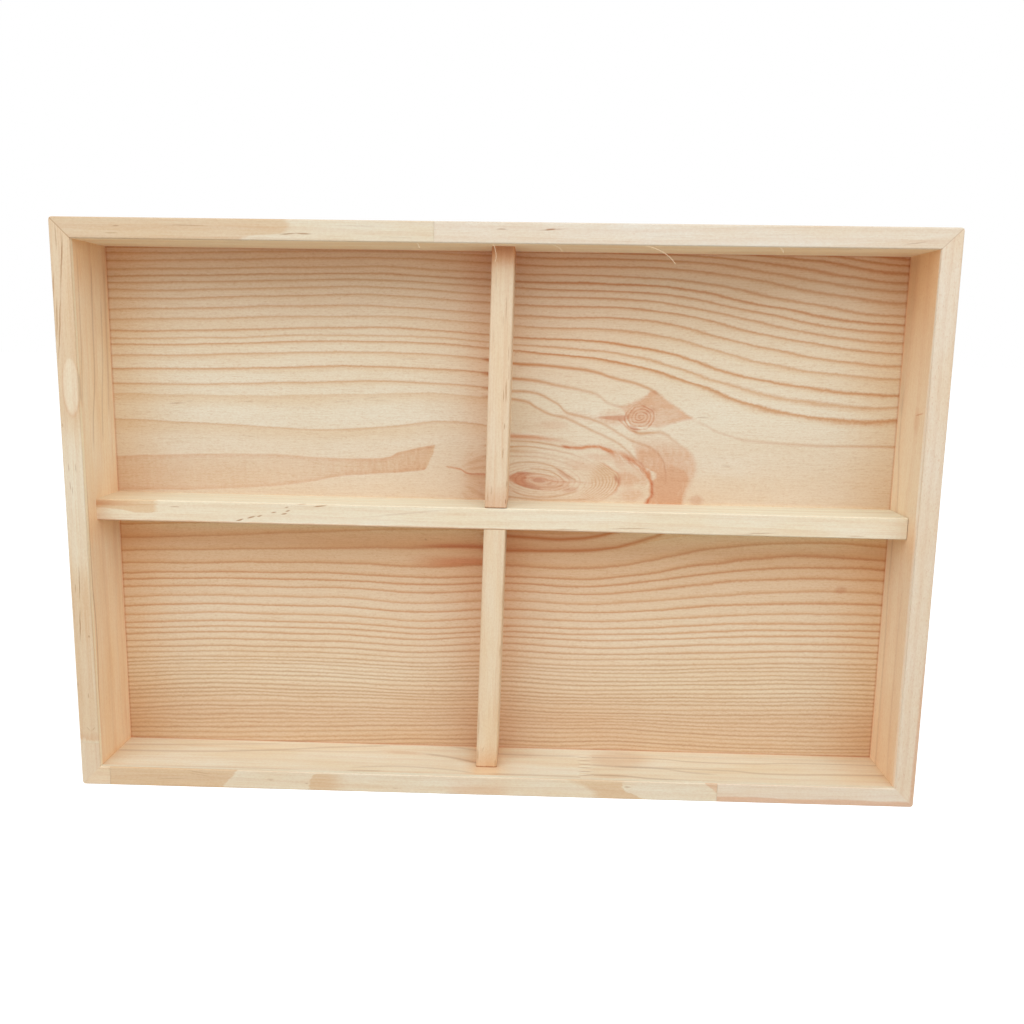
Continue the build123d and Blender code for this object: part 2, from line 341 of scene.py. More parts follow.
panel = {
    "behind": (252, 222, 184),                                  # colour of its rear face
    # colour of the wood from the bottom to the top, with painted shade and painted light where the shelf and
    # the rails shade the panel: Z, colour
    "tones": [(9, (217, 193, 163)), (24, (222, 199, 170)), (42, (231, 216, 190)), (80, (233, 216, 190)),
              (112, (229, 193, 152)), (120, (255, 229, 186)), (128, (255, 236, 198)),
              (136, (220, 204, 183)), (176, (232, 226, 208)), (205, (234, 223, 200)),
              (238, (223, 200, 171)), (248, (239, 208, 176))],
    # how strong the painted shade is near the dividers, above and below the shelf
    "dividerShadeUp": [(-60, 0), (-40, 0.08), (-30, 0.2), (-20, 0.45), (-14, 0.82), (-10, 1.0), (-6, 1.0), (6, 0.75),
               (11, 0.65), (16, 0.5), (25, 0.42), (50, 0.28), (75, 0)],
    "dividerShadeLow": [(-60, 0.06), (-40, 0.2), (-30, 0.32), (-20, 0.6), (-14, 0.85), (-10, 0.9), (4, 0.95),
                (8, 0.85), (11, 0.65), (16, 0.45), (25, 0.3), (50, 0.15), (80, 0)],
    # swells of the rings above the heart: lift, middle X, reach X, middle Z, reach Z
    "upperSway": [(4.0, -57, 71, 218, 50), (-9.6, 199, 56, 195, 91), (-4.5, 94, 108, 227, 19),
                  (-9.8, 107, 64, 173, 43), (3.3, -21, 33, 173, 14), (-4.5, -82, 62, 168, 15),
                  (-11.8, 158, 110, 167, 15), (6.5, 71, 48, 222, 25), (-11.7, 170, 114, 185, 46)],
    "upperRings": [152.6, 170.8, 183.1, 187.9, 194.6, 200.9, 206.0, 208.9, 212.3, 217.8, 222.6, 227.5, 231.2,
                   234.6, 237.6, 240.8, 245.0, 248.2, 251.0, 253.8, 256.2, 258.6, 261.0, 263.4],
    "lowerSway": [(4.6, -136, 80, 37, 19), (13.5, 158, 107, 126, 35), (-5.7, -35, 35, 75, 44),
                  (-5.8, 36, 47, 132, 110), (9.1, 176, 130, 22, 110), (7.9, -15, 78, 57, 81),
                  (3.0, 58, 27, -15, 53), (2.8, -140, 45, 72, 36), (5.9, -12, 130, 120, 12),
                  (-4.2, 153, 63, 17, 12)],
    "lowerRings": [118.0, 111.6, 105.3, 98.9, 93.9, 90.5, 86.6, 81.4, 76.8, 72.1, 68.0, 64.9, 62.0, 58.0,
                   54.3, 51.3, 48.1, 46.0, 44.2, 41.8, 39.6, 37.5, 34.8, 32.4, 30.3, 28.6, 27.0, 24.4, 22.4,
                   20.9, 19.1, 17.4, 15.8, 13.8, 11.5, 9.0, 7.0, 4.7, 2.4, 0.0, -2.4, -4.8],
}


knots = {
    "bigEye": (18.6, 144.8), "bigStretch": 2.55, "arcWidth": 0.61,
    "smallEye": (65.9, 175.8), "smallTurn": 20.0, "smallHalf": (7.5, 6.0),
}
# Rings that bend round the knots. Each follows X (points X, Z), or stands upright and follows Z
# (points Z, X). "dark" is how dark it is at its first and at its last point, "soft" how far its ends fade
figureLines = [
    {"wide": 0.8, "dark": (1.0, 0.6), "points": [       # over both knots
        (-8, 201.6), (4, 200.1), (22.8, 199.1), (35.3, 197.9), (45.3, 196.3), (52.7, 194.0), (62.7, 191.6),
        (67.4, 190.1), (71.0, 188.5), (74.5, 186.5)]},
    {"wide": 0.85, "dark": (1.0, 0.2), "points": [
        (-8, 195.0), (5.2, 193.1), (16.2, 192.0), (27.8, 189.8), (33.0, 189.1), (38.3, 187.9), (43.6, 186.7),
        (46.7, 185.2), (48.9, 183.2), (52.1, 181.6), (55.8, 180.7), (59, 181.0)]},
    {"wide": 0.75, "dark": (0.7, 0.35), "points": [
        (-8, 188.2), (5.3, 187.1), (12.1, 187.0), (17.9, 185.8), (24.3, 182.7), (26.9, 181.2), (31.2, 177.4),
        (36.0, 176.1), (41.8, 174.7), (46.6, 172.9), (51.9, 170.5), (57.3, 167.3), (62.6, 164.5),
        (66.1, 163.2), (69.7, 162.2), (72.7, 160.7), (75.2, 158.7), (77.4, 155.8)]},
    {"upright": True, "wide": 0.5, "dark": (0.0, 0.5), "points": [
        (143, 79.0), (148.6, 78.9), (152.2, 78.4), (155.8, 77.2)]},
    {"wide": 0.75, "dark": (0.75, 0.35), "points": [
        (-8, 184.3), (5.4, 183.4), (8.5, 183.0), (12.7, 182.0), (16.5, 179.7), (22.8, 176.7), (26.5, 175.7),
        (30.2, 175.0), (33.4, 173.7), (38.8, 171.2), (44.1, 168.6), (49.4, 166.6), (52.6, 165.2),
        (56.9, 162.6), (59.6, 160.3), (66, 154.5)]},
    {"wide": 0.5, "dark": (0.35, 0.6), "points": [      # above the big knot
        (-8, 164.0), (5.1, 163.7), (12.6, 163.3), (17.9, 162.9), (23.2, 162.2), (29.5, 161.1), (34, 160.7)]},
    {"wide": 0.45, "dark": (0.85, 0.15), "points": [
        (-8, 161.0), (5.0, 161.0), (11.4, 161.1), (16.7, 160.6), (24.6, 159.7), (28.9, 158.9), (35.3, 157.4),
        (40.6, 155.4), (45.5, 152.6)]},
    {"wide": 0.6, "dark": (0.4, 0.1), "points": [
        (-8, 158.7), (5.1, 158.8), (12, 158.6), (20, 157.9), (30, 156.0), (38, 153.4)]},
    {"wide": 0.55, "dark": (0.5, 0.15), "points": [
        (-8, 156.0), (5.1, 156.2), (12.5, 156.4), (22, 155.6), (30, 153.6), (37, 150.4)]},
    {"wide": 0.5, "dark": (0.35, 0.5), "points": [
        (0, 149.8), (5.2, 152.3), (7.8, 153.1), (10.5, 153.5), (17.4, 153.4), (21.1, 152.8), (24.8, 151.7),
        (28.1, 149.9), (31.3, 148.0), (36.1, 144.9)]},
    {"wide": 0.45, "dark": (0.3, 0.5), "soft": 1.0, "points": [
        (14, 150.6), (21.2, 149.8), (23.8, 149.2), (26.5, 147.9), (28.7, 146.5), (30.0, 145.1)]},
    {"wide": 0.4, "dark": (0.3, 0.3), "soft": 1.0, "points": [
        (12.0, 147.4), (16.0, 148.1), (22.0, 147.2), (25.5, 145.8)]},
    {"wide": 0.4, "dark": (0.3, 0.4), "soft": 1.0, "points": [
        (11.0, 143.9), (16.0, 142.5), (22.0, 141.6), (27.0, 142.0), (30.5, 143.6)]},
    {"wide": 0.45, "dark": (0.35, 0.45), "soft": 1.5, "points": [
        (5.3, 140.0), (8.0, 138.7), (12.3, 137.4), (19.8, 136.8), (26.2, 137.2), (31.5, 138.4),
        (36.8, 140.1)]},
    {"wide": 0.5, "dark": (0.6, 0.3), "points": [
        (0, 137.2), (5.4, 136.5), (11.8, 135.9), (19.9, 135.5), (31, 135.5), (42, 136.2)]},
    {"wide": 0.9, "dark": (0.75, 0.2), "points": [      # under the small knot, over the band
        (63.0, 169.2), (65.9, 168.3), (70.6, 168.5), (75.3, 168.8), (78.6, 167.6), (81.4, 165.7),
        (85.6, 162.6)]},
    {"wide": 0.7, "dark": (0.2, 0.5), "points": [       # on to the right from the small knot
        (91.6, 174.3), (96.4, 172.6), (100.0, 170.8), (103.6, 169.2), (108.4, 167.7), (116.5, 165.8),
        (129, 164.8), (141.5, 164.1), (190, 164.1)]},
    {"wide": 1.0, "dark": (0.9, 0.9), "points": [       # below the shelf
        (-8, 118), (3, 117.3), (14.5, 116.9), (27, 116.3), (39.5, 116.9), (45.8, 118.1), (52, 119.4),
        (60, 122)]},
    {"wide": 0.9, "dark": (0.95, 0.7), "points": [
        (-8, 110.2), (3.3, 110.3), (33, 110.6), (52, 112.1), (64.5, 115), (72, 117.5), (77, 119.4),
        (86, 123.5)]},
]
# The reddish heart line over the big knot
heartLines = [
    {"wide": 0.8, "dark": (0.9, 1.1), "soft": 2.0, "points": [
        (29.0, 161.6), (33.1, 160.9), (37.8, 160.8), (41.5, 161.4), (45.7, 161.4), (49.5, 160.5),
        (54.3, 158.8)]},
    {"wide": 1.8, "dark": (0.2, 1.25), "soft": 2.0, "points": [
        (47.0, 160.8), (51.6, 159.7), (55.5, 158.5), (59.1, 157.3), (63.3, 155.3), (67.2, 152.1),
        (69.6, 149.0), (71.4, 145.8)]},
    {"upright": True, "wide": 0.8, "dark": (0.95, 0.8), "soft": 1.0, "points": [
        (133.0, 70.3), (136.4, 71.3), (140.0, 72.7), (143.7, 72.5), (147.3, 71.5), (150.8, 70.6)]},
    {"wide": 0.5, "dark": (0.8, 0.15), "soft": 1.0, "points": [      # crack along the knot's middle
        (11.0, 145.6), (14.0, 146.0), (19.6, 145.9), (23.4, 144.7), (27.7, 144.3), (35.6, 144.3),
        (44.1, 144.1)]},
    {"wide": 0.5, "dark": (0.7, 0.7), "soft": 1.2, "points": [       # left of the divider
        (-25.5, 150.6), (-20, 149.7), (-14.8, 147.4), (-8, 147.2), (4, 146.6)]},
]
# Reddish spots: X, Z, half length, half width, slope in degrees, darkness
heartSpots = [(18.2, 144.7, 4.4, 1.2, -4, 0.6), (30.8, 147.5, 6.0, 1.3, -32, 0.4),
              (33.6, 140.6, 4.6, 1.3, 12, 0.42), (55.5, 146.3, 3.0, 1.0, -56, 0.45),
              (70.4, 179.0, 4.0, 1.5, 24, 0.2), (62.8, 170.8, 3.4, 1.0, -18, 0.5),
              (94.0, 136.5, 4.0, 3.0, 0, 0.35), (23.5, 143.0, 1.5, 0.9, 10, 0.25),
              (10.8, 148.2, 4.6, 1.1, 3, 0.3), (15.2, 141.5, 7.0, 1.0, -10, 0.4),
              (165.5, 94.2, 3.4, 2.3, 10, 0.32)]
# Rosy patches round the big knot and left of the small one, with the same values
blushes = [(60.5, 146.5, 6.5, 5.0, 0, 0.7), (67.5, 145.5, 3.4, 3.0, 0, 0.4),
           (38.0, 152.5, 9.0, 3.0, -12, 0.4), (46.0, 156.5, 7.0, 2.0, -8, 0.45),
           (37.0, 175.5, 12.0, 3.0, -6, 0.3), (25.0, 171.5, 9.0, 2.5, 0, 0.3),
           (63.0, 138.5, 7.0, 4.0, 0, 0.5), (53.0, 176.0, 9.0, 4.0, 0, 0.42),
           (46.0, 138.0, 7.0, 3.0, 8, 0.1), (57.0, 152.5, 4.0, 2.0, -30, 0.35),
           (52.0, 173.0, 8.0, 2.0, -12, 0.3)]
# The small knot's halo and the band of reddish wood beside the big knot
haloTop = [(53, 181.4), (57.8, 181.4), (61.9, 182.9), (65.3, 184.4), (68.2, 186.3), (71.1, 188.0),
           (74.6, 186.6), (77.6, 184.7), (80.7, 182.5), (84.3, 179.9), (87.9, 177.1), (91.8, 175.4),
           (95, 174.6)]
haloLow = [(53, 180.6), (58, 178), (62, 172), (70, 171), (75.3, 170.8), (78.8, 171.6), (81.1, 172.7),
           (84.6, 173.8), (88.1, 174.4), (91.9, 174.9), (95, 174.9)]
bandOut = [(130, 86.5), (136, 88.0), (141, 89.4), (145.2, 91.2), (150.1, 93.0), (153.7, 93.4), (156.6, 92.4),
           (160.2, 89.9), (163.1, 85.6), (166, 81.0), (169, 76)]
bandStrong = [(130, 86.5), (136, 87.6), (141.6, 89.0), (145.8, 90.0), (148.8, 88.8), (151.8, 85.5),
              (154.5, 80)]
bandIn = [(130, 67.6), (136, 69.2), (139, 71.4), (142, 70.8), (145, 71.6), (148, 73.8), (151, 70.6),
          (154, 66.0), (158, 64.2), (163, 62.0), (169, 59.5)]
innerRing = [(143, 79.0), (148.6, 78.9), (152.2, 78.4), (155.8, 77.2), (158.7, 75.2), (160.7, 72.7),
             (162.2, 69.7)]
tongue = {
    "top": [(-187, 152.6), (-148, 154.4), (-111, 155), (-80, 153.8), (-61, 153.8), (-48.5, 157.3),
            (-31, 161)],
    "bottom": [(-187, 136.3), (-148.5, 137.3), (-123.5, 138.5), (-98.5, 141), (-73.5, 145.4), (-48.5, 147.5),
               (-36, 148.8)],
    "tip": [(147, -38.0), (150.4, -35), (155, -33), (161, -31.0)],
    "depth": [(-190, 0.5), (-165, 0.5), (-140, 0.4), (-100, 0.4), (-80, 0.6), (-60, 0.85), (-35, 1.0)],
}
# Short resin dashes on the panel: X, Z, half length, half width, slope in degrees, darkness
panelDashes = [(-155.4, 178.6, 4.2, 0.45, 4, 0.7), (-149, 179.8, 2.2, 0.4, 4, 0.4),
               (-120.5, 180.0, 3.0, 0.4, 0, 0.5), (-108, 178.2, 3.0, 0.4, 0, 0.3),
               (-75, 181.0, 5.5, 0.4, 4, 0.45), (-62, 182.8, 5.0, 0.4, 6, 0.4),
               (-57, 181.6, 5.5, 0.35, 3, 0.35), (-95, 177.4, 5, 0.4, -2, 0.3),
               (-122, 163.6, 4, 0.45, 0, 0.3), (-44, 201.4, 4, 0.4, 3, 0.35),
               (-21.5, 196, 4, 0.35, 6, 0.35), (107.8, 153.4, 3.2, 0.8, 0, 0.4),
               (104, 157.0, 2.6, 0.5, 0, 0.2), (152, 152.5, 3, 0.5, 0, 0.25), (168, 158.6, 3, 0.5, 0, 0.25),
               (124, 142.0, 3, 0.5, 0, 0.2), (95.2, 176.3, 3.4, 0.4, 3, 0.8),
               (40.0, 178.3, 4.0, 0.8, 3, 0.25), (-36, 114.8, 0.7, 0.6, 0, 0.9),
               (-31, 115.2, 4.0, 0.35, 0, 0.25)]


def dash(s, x, z, midX, midZ, halfLong, halfWide, slope):       # a short mark, 1 in its middle
    turn = math.radians(slope)
    run = (x - midX) * math.cos(turn) + (z - midZ) * math.sin(turn)
    rise = (z - midZ) * math.cos(turn) - (x - midX) * math.sin(turn)
    size = s.vector("LENGTH", s.join(run / halfLong, rise / halfWide, 0.0))
    return s.smooth(size, 1.15, 0.35)


def stroke(s, along, across, points, width, soft=3.0):          # a line along the points, faded at its ends
    line = s.bell((across - s.curve(along, points)) / width)
    first, last = points[0][0], points[-1][0]
    return line * s.smooth(along, first - soft, first + soft) * s.smooth(along, last + soft, last - soft)


def figureLine(s, x, z, look):                                  # one entry of the lists above
    along, across = (z, x) if look.get("upright") else (x, z)
    mask = stroke(s, along, across, look["points"], look["wide"], look.get("soft", 3.0))
    return mask * s.ramp(along, look["points"][0][0], look["points"][-1][0], *look["dark"])


def total(parts):
    whole = parts[0]
    for part in parts[1:]:
        whole = whole + part
    return whole


def marked(s, x, z, marks):                                     # dashes: place and shape, then darkness
    return total([dash(s, x, z, *mark[:5]) * mark[5] for mark in marks])


def backPanelWood():
    s = Shader("back panel pine")
    wobble = s.noise(s.point, (38, 30, 7), 2, 0.5, 3.1, spread=0.9)
    x = s.x + s.noise(s.point, (9, 9, 6), 2, 0.5, 8.8, spread=0.6)
    z = s.z + s.noise(s.point, (14, 9, 7), 2, 0.5, 6.1, spread=0.45)
    wobble = wobble + s.noise(s.point, (1.7, 9, 3.5), 2, 0.6, 31.7, spread=0.3)
    above = s.smooth(s.z, *shelfBand)
    left = s.smooth(s.x, -1, -6)
    facing = s.smooth(s.y, 17, 15.6)                            # 1 on the face that shows, 0 behind

    # pale wood with painted shade and painted light along its height, and painted shade toward the edges, the
    # dividers and the shelf
    cloud = s.noise(s.point, (70, 20, 16), 2, 0.5, 5.0)
    colour = s.blend(tone(*panel["behind"]), s.stops(s.z, panel["tones"]), facing)
    colour = s.stain(colour, cloudTint, cloud + 0.5)
    colour = s.stain(colour, panelEdgeShadeTint, s.smooth(s.math("ABSOLUTE", s.x), 152, 186) * facing)
    dividerShadeUp = (s.curve(s.x, panel["dividerShadeUp"], smooth=False)
              * s.math("MAXIMUM", left, s.smooth(s.z, 180, 205, 0.0, 1.0)))
    dividerShadeUp = dividerShadeUp * s.smooth(s.z, 145, 185, 0.6, 1.0)
    dividerShadeLow = s.curve(s.x, panel["dividerShadeLow"], smooth=False) * s.smooth(s.z, 20, 70, 0.75, 1.0)
    dividerShadeLow = dividerShadeLow * s.smooth(s.z, 109, 118, 1.0, 0.35)
    colour = s.stain(colour, dividerShadeTint, (dividerShadeUp * above + dividerShadeLow * (1 - above)) * facing)
    # painted shade under the shelf, on its left
    shelfShadeLeft = s.smooth(s.x, 30, -30) * s.smooth(s.z, 108, 114) * s.smooth(s.z, 122, 116) * facing
    colour = s.stain(colour, shelfShadeTint, shelfShadeLeft)

    # growth rings, above and below the heart
    high = s.z - swells(s, panel["upperSway"]) + wobble
    upper, distanceUp, gapUp = ringLines(s, high, panel["upperRings"], 1, 11.0)
    upperSeen = s.math("MAXIMUM", left, s.smooth(high, 202.5, 204.0)) * s.smooth(high, 160, 165)
    upper = upper * (1 - s.bell((high - 183.1) / 1.8) * s.smooth(s.x, 110, 60, 0.25, 0.75))
    upper = upper * upperSeen * s.smooth(s.x, -20, 30, 0.6, 1.0) * s.smooth(s.x, 55, 100, 1.0, 0.84)
    towardHeart = s.smooth(distanceUp / gapUp, -0.5, -0.02) * above * s.math("LESS_THAN", distanceUp, 0.0)
    colour = s.stain(colour, earlyTint, towardHeart * upperSeen)
    low = s.z - swells(s, panel["lowerSway"]) + wobble
    lower, distanceLow, gapLow = ringLines(s, low, panel["lowerRings"], -1, 57.0)
    lower = lower * s.math("MAXIMUM", left, s.smooth(low, 102.8, 101.2))
    towardHeart = (s.smooth(distanceLow / gapLow, -0.5, -0.02) * (1 - above)
                   * s.math("LESS_THAN", distanceLow, 0.0))
    colour = s.stain(colour, earlyTint, towardHeart)
    lines = upper * above + lower * (1 - above) * s.smooth(s.z, 40, 75, 0.54, 0.7)
    deep = s.smooth(s.z, 75, 45, 0.0, 0.75)
    colour = s.stain(colour, lateTint, lines * (1 - deep))
    colour = s.stain(colour, umberTint, lines * deep * 1.35)

    # late wood close under the shelf, beside the dividers, with painted shade under the shelf
    x, z = s.startGroup(lines, x, z)
    shadeLeft = (s.smooth(s.x, -50, -22) * s.smooth(s.z, 108.0, 104.5) * s.smooth(low, 98.6, 99.8)
                 * s.smooth(s.x, 3, -3))
    shadeUnder = (s.smooth(s.x, -44, -22) * s.smooth(s.z, 110.2, 111.2) * s.smooth(s.z, 114, 111.2)
                  * s.smooth(s.x, 3, -3))
    shadeRight = (s.smooth(z - s.curve(x, figureLines[-1]["points"]), -0.2, 0.8) * s.smooth(s.x, 0, 4)
                  * s.smooth(s.x, 78, 30))
    shadeRight = shadeRight * s.smooth(s.z, 125, 110, 1.0, 0.25) * (1 - above)
    underShade = s.math("MAXIMUM", shadeLeft, s.math("MAXIMUM", shadeUnder, shadeRight))
    colour = s.stain(colour, roseTint, underShade * facing)

    # tongue of late wood on the left
    x, z = s.startGroup(underShade, x, z)
    brushed = s.noise(s.point, (1.6, 9, 5.0), 3, 0.65, 12.4)
    tongueTop = z - s.curve(x, tongue["top"])
    tongueBottom = z - s.curve(x, tongue["bottom"])
    inTongue = s.smooth(tongueTop, 0.5, -0.5) * s.smooth(tongueBottom, -0.5, 0.5)
    inTongue = inTongue * s.smooth(s.curve(z, tongue["tip"]) - x, -0.4, 0.8)
    tongueRim = inTongue * (s.smooth(tongueTop, -2.6, 0) + s.smooth(tongueBottom, 2.4, 0))
    tongueTint = inTongue * s.curve(s.x, tongue["depth"])
    colour = s.stain(colour, tanTint, tongueTint * s.smooth(s.z, 138, 148, 0.58, 0.82))
    colour = s.stain(colour, roseTint, tongueTint * s.smooth(brushed, -0.4, 0.4, 0.1, 0.5))
    colour = s.stain(colour, roseTint, tongueRim * 0.36)

    # wide soft ring and tan wood above the big knot, on the left
    x, z = s.startGroup(tongueRim, x, z)
    wideRing = z - s.curve(x, [(-8, 166.4), (5, 166.0), (12.5, 165.6), (24, 164.5), (34.8, 163.0),
                               (42, 162.2)])
    wideRing = (s.bell(wideRing / s.ramp(s.x, 5, 38, 1.3, 0.6)) * s.smooth(s.x, heartLeft, heartRight)
                * s.smooth(s.x, 41, 9))
    colour = s.stain(colour, heartTint, wideRing * 0.83)
    tanLeft = s.smooth(z, 166.5, 169) * s.smooth(z - s.curve(x, figureLines[4]["points"]), 0.4, -1.0)
    tanLeft = tanLeft * s.smooth(s.x, 50, 12) * s.smooth(s.x, heartLeft, heartRight)
    tanLow = (s.smooth(z, 156.6, 158.6) * s.smooth(z, 161.2, 160.4) * s.smooth(s.x, 22, 6)
              * s.smooth(s.x, heartLeft, heartRight))
    tanMid = (s.smooth(z, 161.4, 162.4) * s.smooth(z, 167.0, 165.8) * s.smooth(s.x, 42, 10)
              * s.smooth(s.x, heartLeft, heartRight))
    leftPatch = s.smooth(s.x, -21, -12) * s.smooth(s.x, 3, -2) * s.smooth(s.z, 160, 152) * above
    colour = s.stain(colour, tanTint, tanLeft * 0.45 + tanLow * 0.6 + tanMid * 0.5 + leftPatch * 0.38)

    # big knot: fine arcs on its right, reddish wood round its middle, darkest on the left
    x, z = s.startGroup(tanLeft, x, z)
    patchy = s.noise(s.point, (14, 9, 7), 3, 0.6, 9.9)
    eyeX, eyeZ = knots["bigEye"]
    shake = (s.noise(s.point, (18, 9, 8), 2, 0.5, 4.4, spread=0.9)
             + s.noise(s.point, (5, 9, 3), 2, 0.5, 2.7, spread=0.25))
    oval = s.vector("LENGTH", s.join((x - eyeX) / knots["bigStretch"], z - eyeZ, 0.0)) + shake
    splay = s.math("ARCTAN2", z - 147.5, x + 27.0)
    fan = s.smooth(s.noise(s.join(splay * 9, oval * 0.05, 0.0), (1, 1, 1), 2, 0.6, 2.2), -0.2, 0.3)
    colour = s.stain(colour, lateTint, leftPatch * fan * 0.32)
    arcs = s.smooth(s.math("SINE", oval * (fullTurn / knots["arcWidth"])), -0.3, 1.0)
    arcsIn = (s.smooth(oval, 8.0, 10.5) * s.smooth(oval, 15.3, 14.5) * s.smooth(s.x - s.z * 0.6, -50, -41)
              * above)
    arcs = arcs * arcsIn * s.smooth(patchy, -0.4, 0.2, 0.5, 1.0)
    colour = s.stain(colour, tanTint, arcsIn * s.smooth(s.z, 138, 149, 0.2, 0.8))
    rim = s.bell((oval - 15.0) / 0.3) * s.smooth(s.x, 44, 54) * s.smooth(patchy, -0.3, 0.3, 0.4, 1.1) * above
    ovals = s.smooth(s.math("SINE", oval * (fullTurn / 1.05)), 0.0, 1.0) * s.smooth(oval, 10.0, 7.5) * above
    colour = s.stain(colour, heartTint, arcs * 0.42 + rim * 0.5 + ovals * s.smooth(s.x, 8, 16, 0.27, 0.2))
    ragged = s.noise(s.join(x + z * 0.8, 0.0, z * 0.5), (2.6, 3, 3.5), 3, 0.7, 6.6)
    turned = z + (x - 18.5) * 0.11
    outerLens = s.vector("LENGTH", s.join((x - 18.5) / 14.6, (turned - 144.3) / 4.2, 0.0)) + shake * 0.12
    innerLens = s.vector("LENGTH", s.join((x - 21.8) / 11.0, (turned - 144.7) / 3.0, 0.0)) + shake * 0.2
    lens = s.smooth(outerLens, 1.08, 0.9)
    crescent = lens * s.smooth(innerLens, 0.75, 1.05) * s.smooth(s.x, 19, 9, 0.1, 1.0)
    colour = s.stain(colour, heartTint, lens * s.smooth(turned, 143.5, 147.0, 0.32, 0.22) + leftPatch * 0.08)
    colour = s.stain(colour, heartTint, crescent * 0.68 * s.smooth(ragged, -0.5, 0.2, 0.75, 1.1))
    heartUp = z - s.curve(x, heartLines[1]["points"])
    feather = s.smooth(ragged - heartUp * 0.09, -0.15, 0.35) * s.smooth(heartUp, 0.6, -0.5)
    feather = feather * s.smooth(heartUp, -6.5, -1.5) * s.smooth(s.x, 47, 54) * s.smooth(s.x, 71, 67) * above
    colour = s.stain(colour, roseTint, feather * 0.75)
    heart = total([figureLine(s, x, z, look) for look in heartLines])
    colour = s.stain(colour, heartTint, heart * s.smooth(ragged, -0.35, 0.15, 0.6, 1.1))

    # reddish band outside the big knot's rings
    x, z = s.startGroup(heart, x, z)
    outside = s.curve(z, bandOut) - x
    inside = x - s.curve(z, bandIn)
    band = s.smooth(outside, -1.6, 2.2) * s.smooth(inside, -0.8, 1.6) * s.smooth(s.z, 169.5, 167) * above
    firm = s.smooth(s.curve(z, bandStrong) - x, -1.2, 1.6) * s.smooth(s.z, 156, 149) * s.smooth(s.x, 74, 81)
    core = s.smooth(s.curve(z, innerRing) - x, -0.5, 1.0) * s.smooth(s.z, 163, 158)
    shade = s.smooth(s.z, 168, 158, 0.12, 0.62) + core * 0.28 + firm * 0.5
    band = band * shade * s.smooth(patchy, -0.5, 0.2, 0.8, 1.12) * s.smooth(brushed, -0.4, 0.3, 0.78, 1.16)
    colour = s.stain(colour, roseTint, band)
    blush = marked(s, x, z, blushes)
    colour = s.stain(colour, roseTint, blush * s.smooth(brushed, -0.4, 0.3, 0.7, 1.15) * above)

    # small knot with its halo and tail
    x, z = s.startGroup(blush, x, z)
    fromTop = s.curve(x, haloTop) - z
    halo = s.smooth(fromTop + s.noise(s.point, (3, 9, 2), 2, 0.6, 25.3, spread=1.2), -1.2, 1.2)
    halo = halo * s.smooth(z - s.curve(x, haloLow), -0.6, 1.8)
    haloWave = s.noise(s.point, (6, 9, 3), 3, 0.65, 15.1)
    halo = halo * s.smooth(haloWave, -0.4, 0.3, 0.72, 1.12) * s.smooth(s.x, 50, 60) * s.smooth(s.x, 97, 94)
    halo = halo * s.smooth(fromTop, 14, 1, 0.74, 0.95)
    colour = s.stain(colour, roseTint, halo)
    tail = s.math("ABSOLUTE", z - 175.3) / s.ramp(s.x, 43, 57, 0.25, 1.5)
    tail = s.smooth(tail, 1.3, 0.5) * s.smooth(s.x, 43, 50) * s.smooth(s.x, 60, 58.5)
    knotX, knotZ = knots["smallEye"]
    turn = math.radians(knots["smallTurn"])
    halfLong, halfWide = knots["smallHalf"]
    run = ((x - knotX) * math.cos(turn) + (z - knotZ) * math.sin(turn)) / halfLong
    rise = ((z - knotZ) * math.cos(turn) - (x - knotX) * math.sin(turn)) / halfWide
    knob = s.vector("LENGTH", s.join(run, rise, 0.0)) + s.noise(s.point, (7, 6, 6), 2, 0.5, 3.3, spread=0.16)
    spin = s.math("ARCTAN2", rise, run) / fullTurn
    knobPhase = s.math("FRACT", knob * 4.2 + spin + s.noise(s.point, (4.5, 4, 4.0), 2, 0.5, 7.3, spread=0.45))
    knobLine = s.smooth(knobPhase, 0.2, 0.65) * s.smooth(knobPhase, 1.0, 0.8)
    knobLine = knobLine * s.smooth(s.noise(s.point, (3, 3, 3), 2, 0.6, 5.9), -0.3, 0.2, 0.45, 1.1)
    inKnob = s.smooth(knob, 1.08, 0.98)
    curl = stroke(s, x, z, [(55.7, 174.4), (57.5, 173.0), (59.3, 171.3), (61.7, 169.6), (64.5, 168.9)], 0.7,
                  1.0)
    colour = s.stain(colour, roseTint, inKnob * 0.06 + tail * 0.75)
    colour = s.stain(colour, heartTint, knobLine * inKnob * 0.6 + curl * 0.6)

    # single lines, dark spots, resin dashes and painted shade in the creases
    x, z = s.startGroup(curl, x, z)
    bent = total([figureLine(s, x, z, look) for look in figureLines])
    colour = s.stain(colour, lateTint, bent)
    spots = marked(s, x, z, heartSpots)
    colour = s.stain(colour, knotAndCreaseTint, tail * 0.3 + spots)
    dashes = marked(s, x, z, panelDashes)
    colour = s.stain(colour, resinTint, dashes * 0.45)
    # painted shade in the creases where the panel meets the frame
    creaseShade = s.math("MAXIMUM", s.smooth(s.math("ABSOLUTE", s.x), 184.9, 186.3), s.smooth(s.z, 249.9, 251.4))
    creaseShade = s.math("MAXIMUM", creaseShade, s.smooth(s.z, 10.1, 8.7))
    colour = s.stain(colour, knotAndCreaseTint, creaseShade * facing * 0.6)

    # fine fibre, flecks and grit
    x, z = s.startGroup(dashes, x, z)
    fibre = s.noise(s.point, (14, 1, 0.35), 3, 0.6, 1.7)
    fleck = s.noise(s.point, (2.2, 1, 0.5), 2, 0.7, 7.9)
    grit = s.noise(s.point, (1.3, 1, 0.6), 3, 0.75, 21.3)
    colour = s.stain(colour, fibreTint, s.smooth(fibre, -0.2, 0.6))
    colour = s.stain(colour, gritTint, s.smooth(grit, -0.3, 0.3))
    colour = s.stain(colour, fleckTint, s.smooth(fleck, 0.0, 0.45))
    return s.finish(colour, 0.62, fibre * 0.25 + grit * 0.1, relief=0.04)
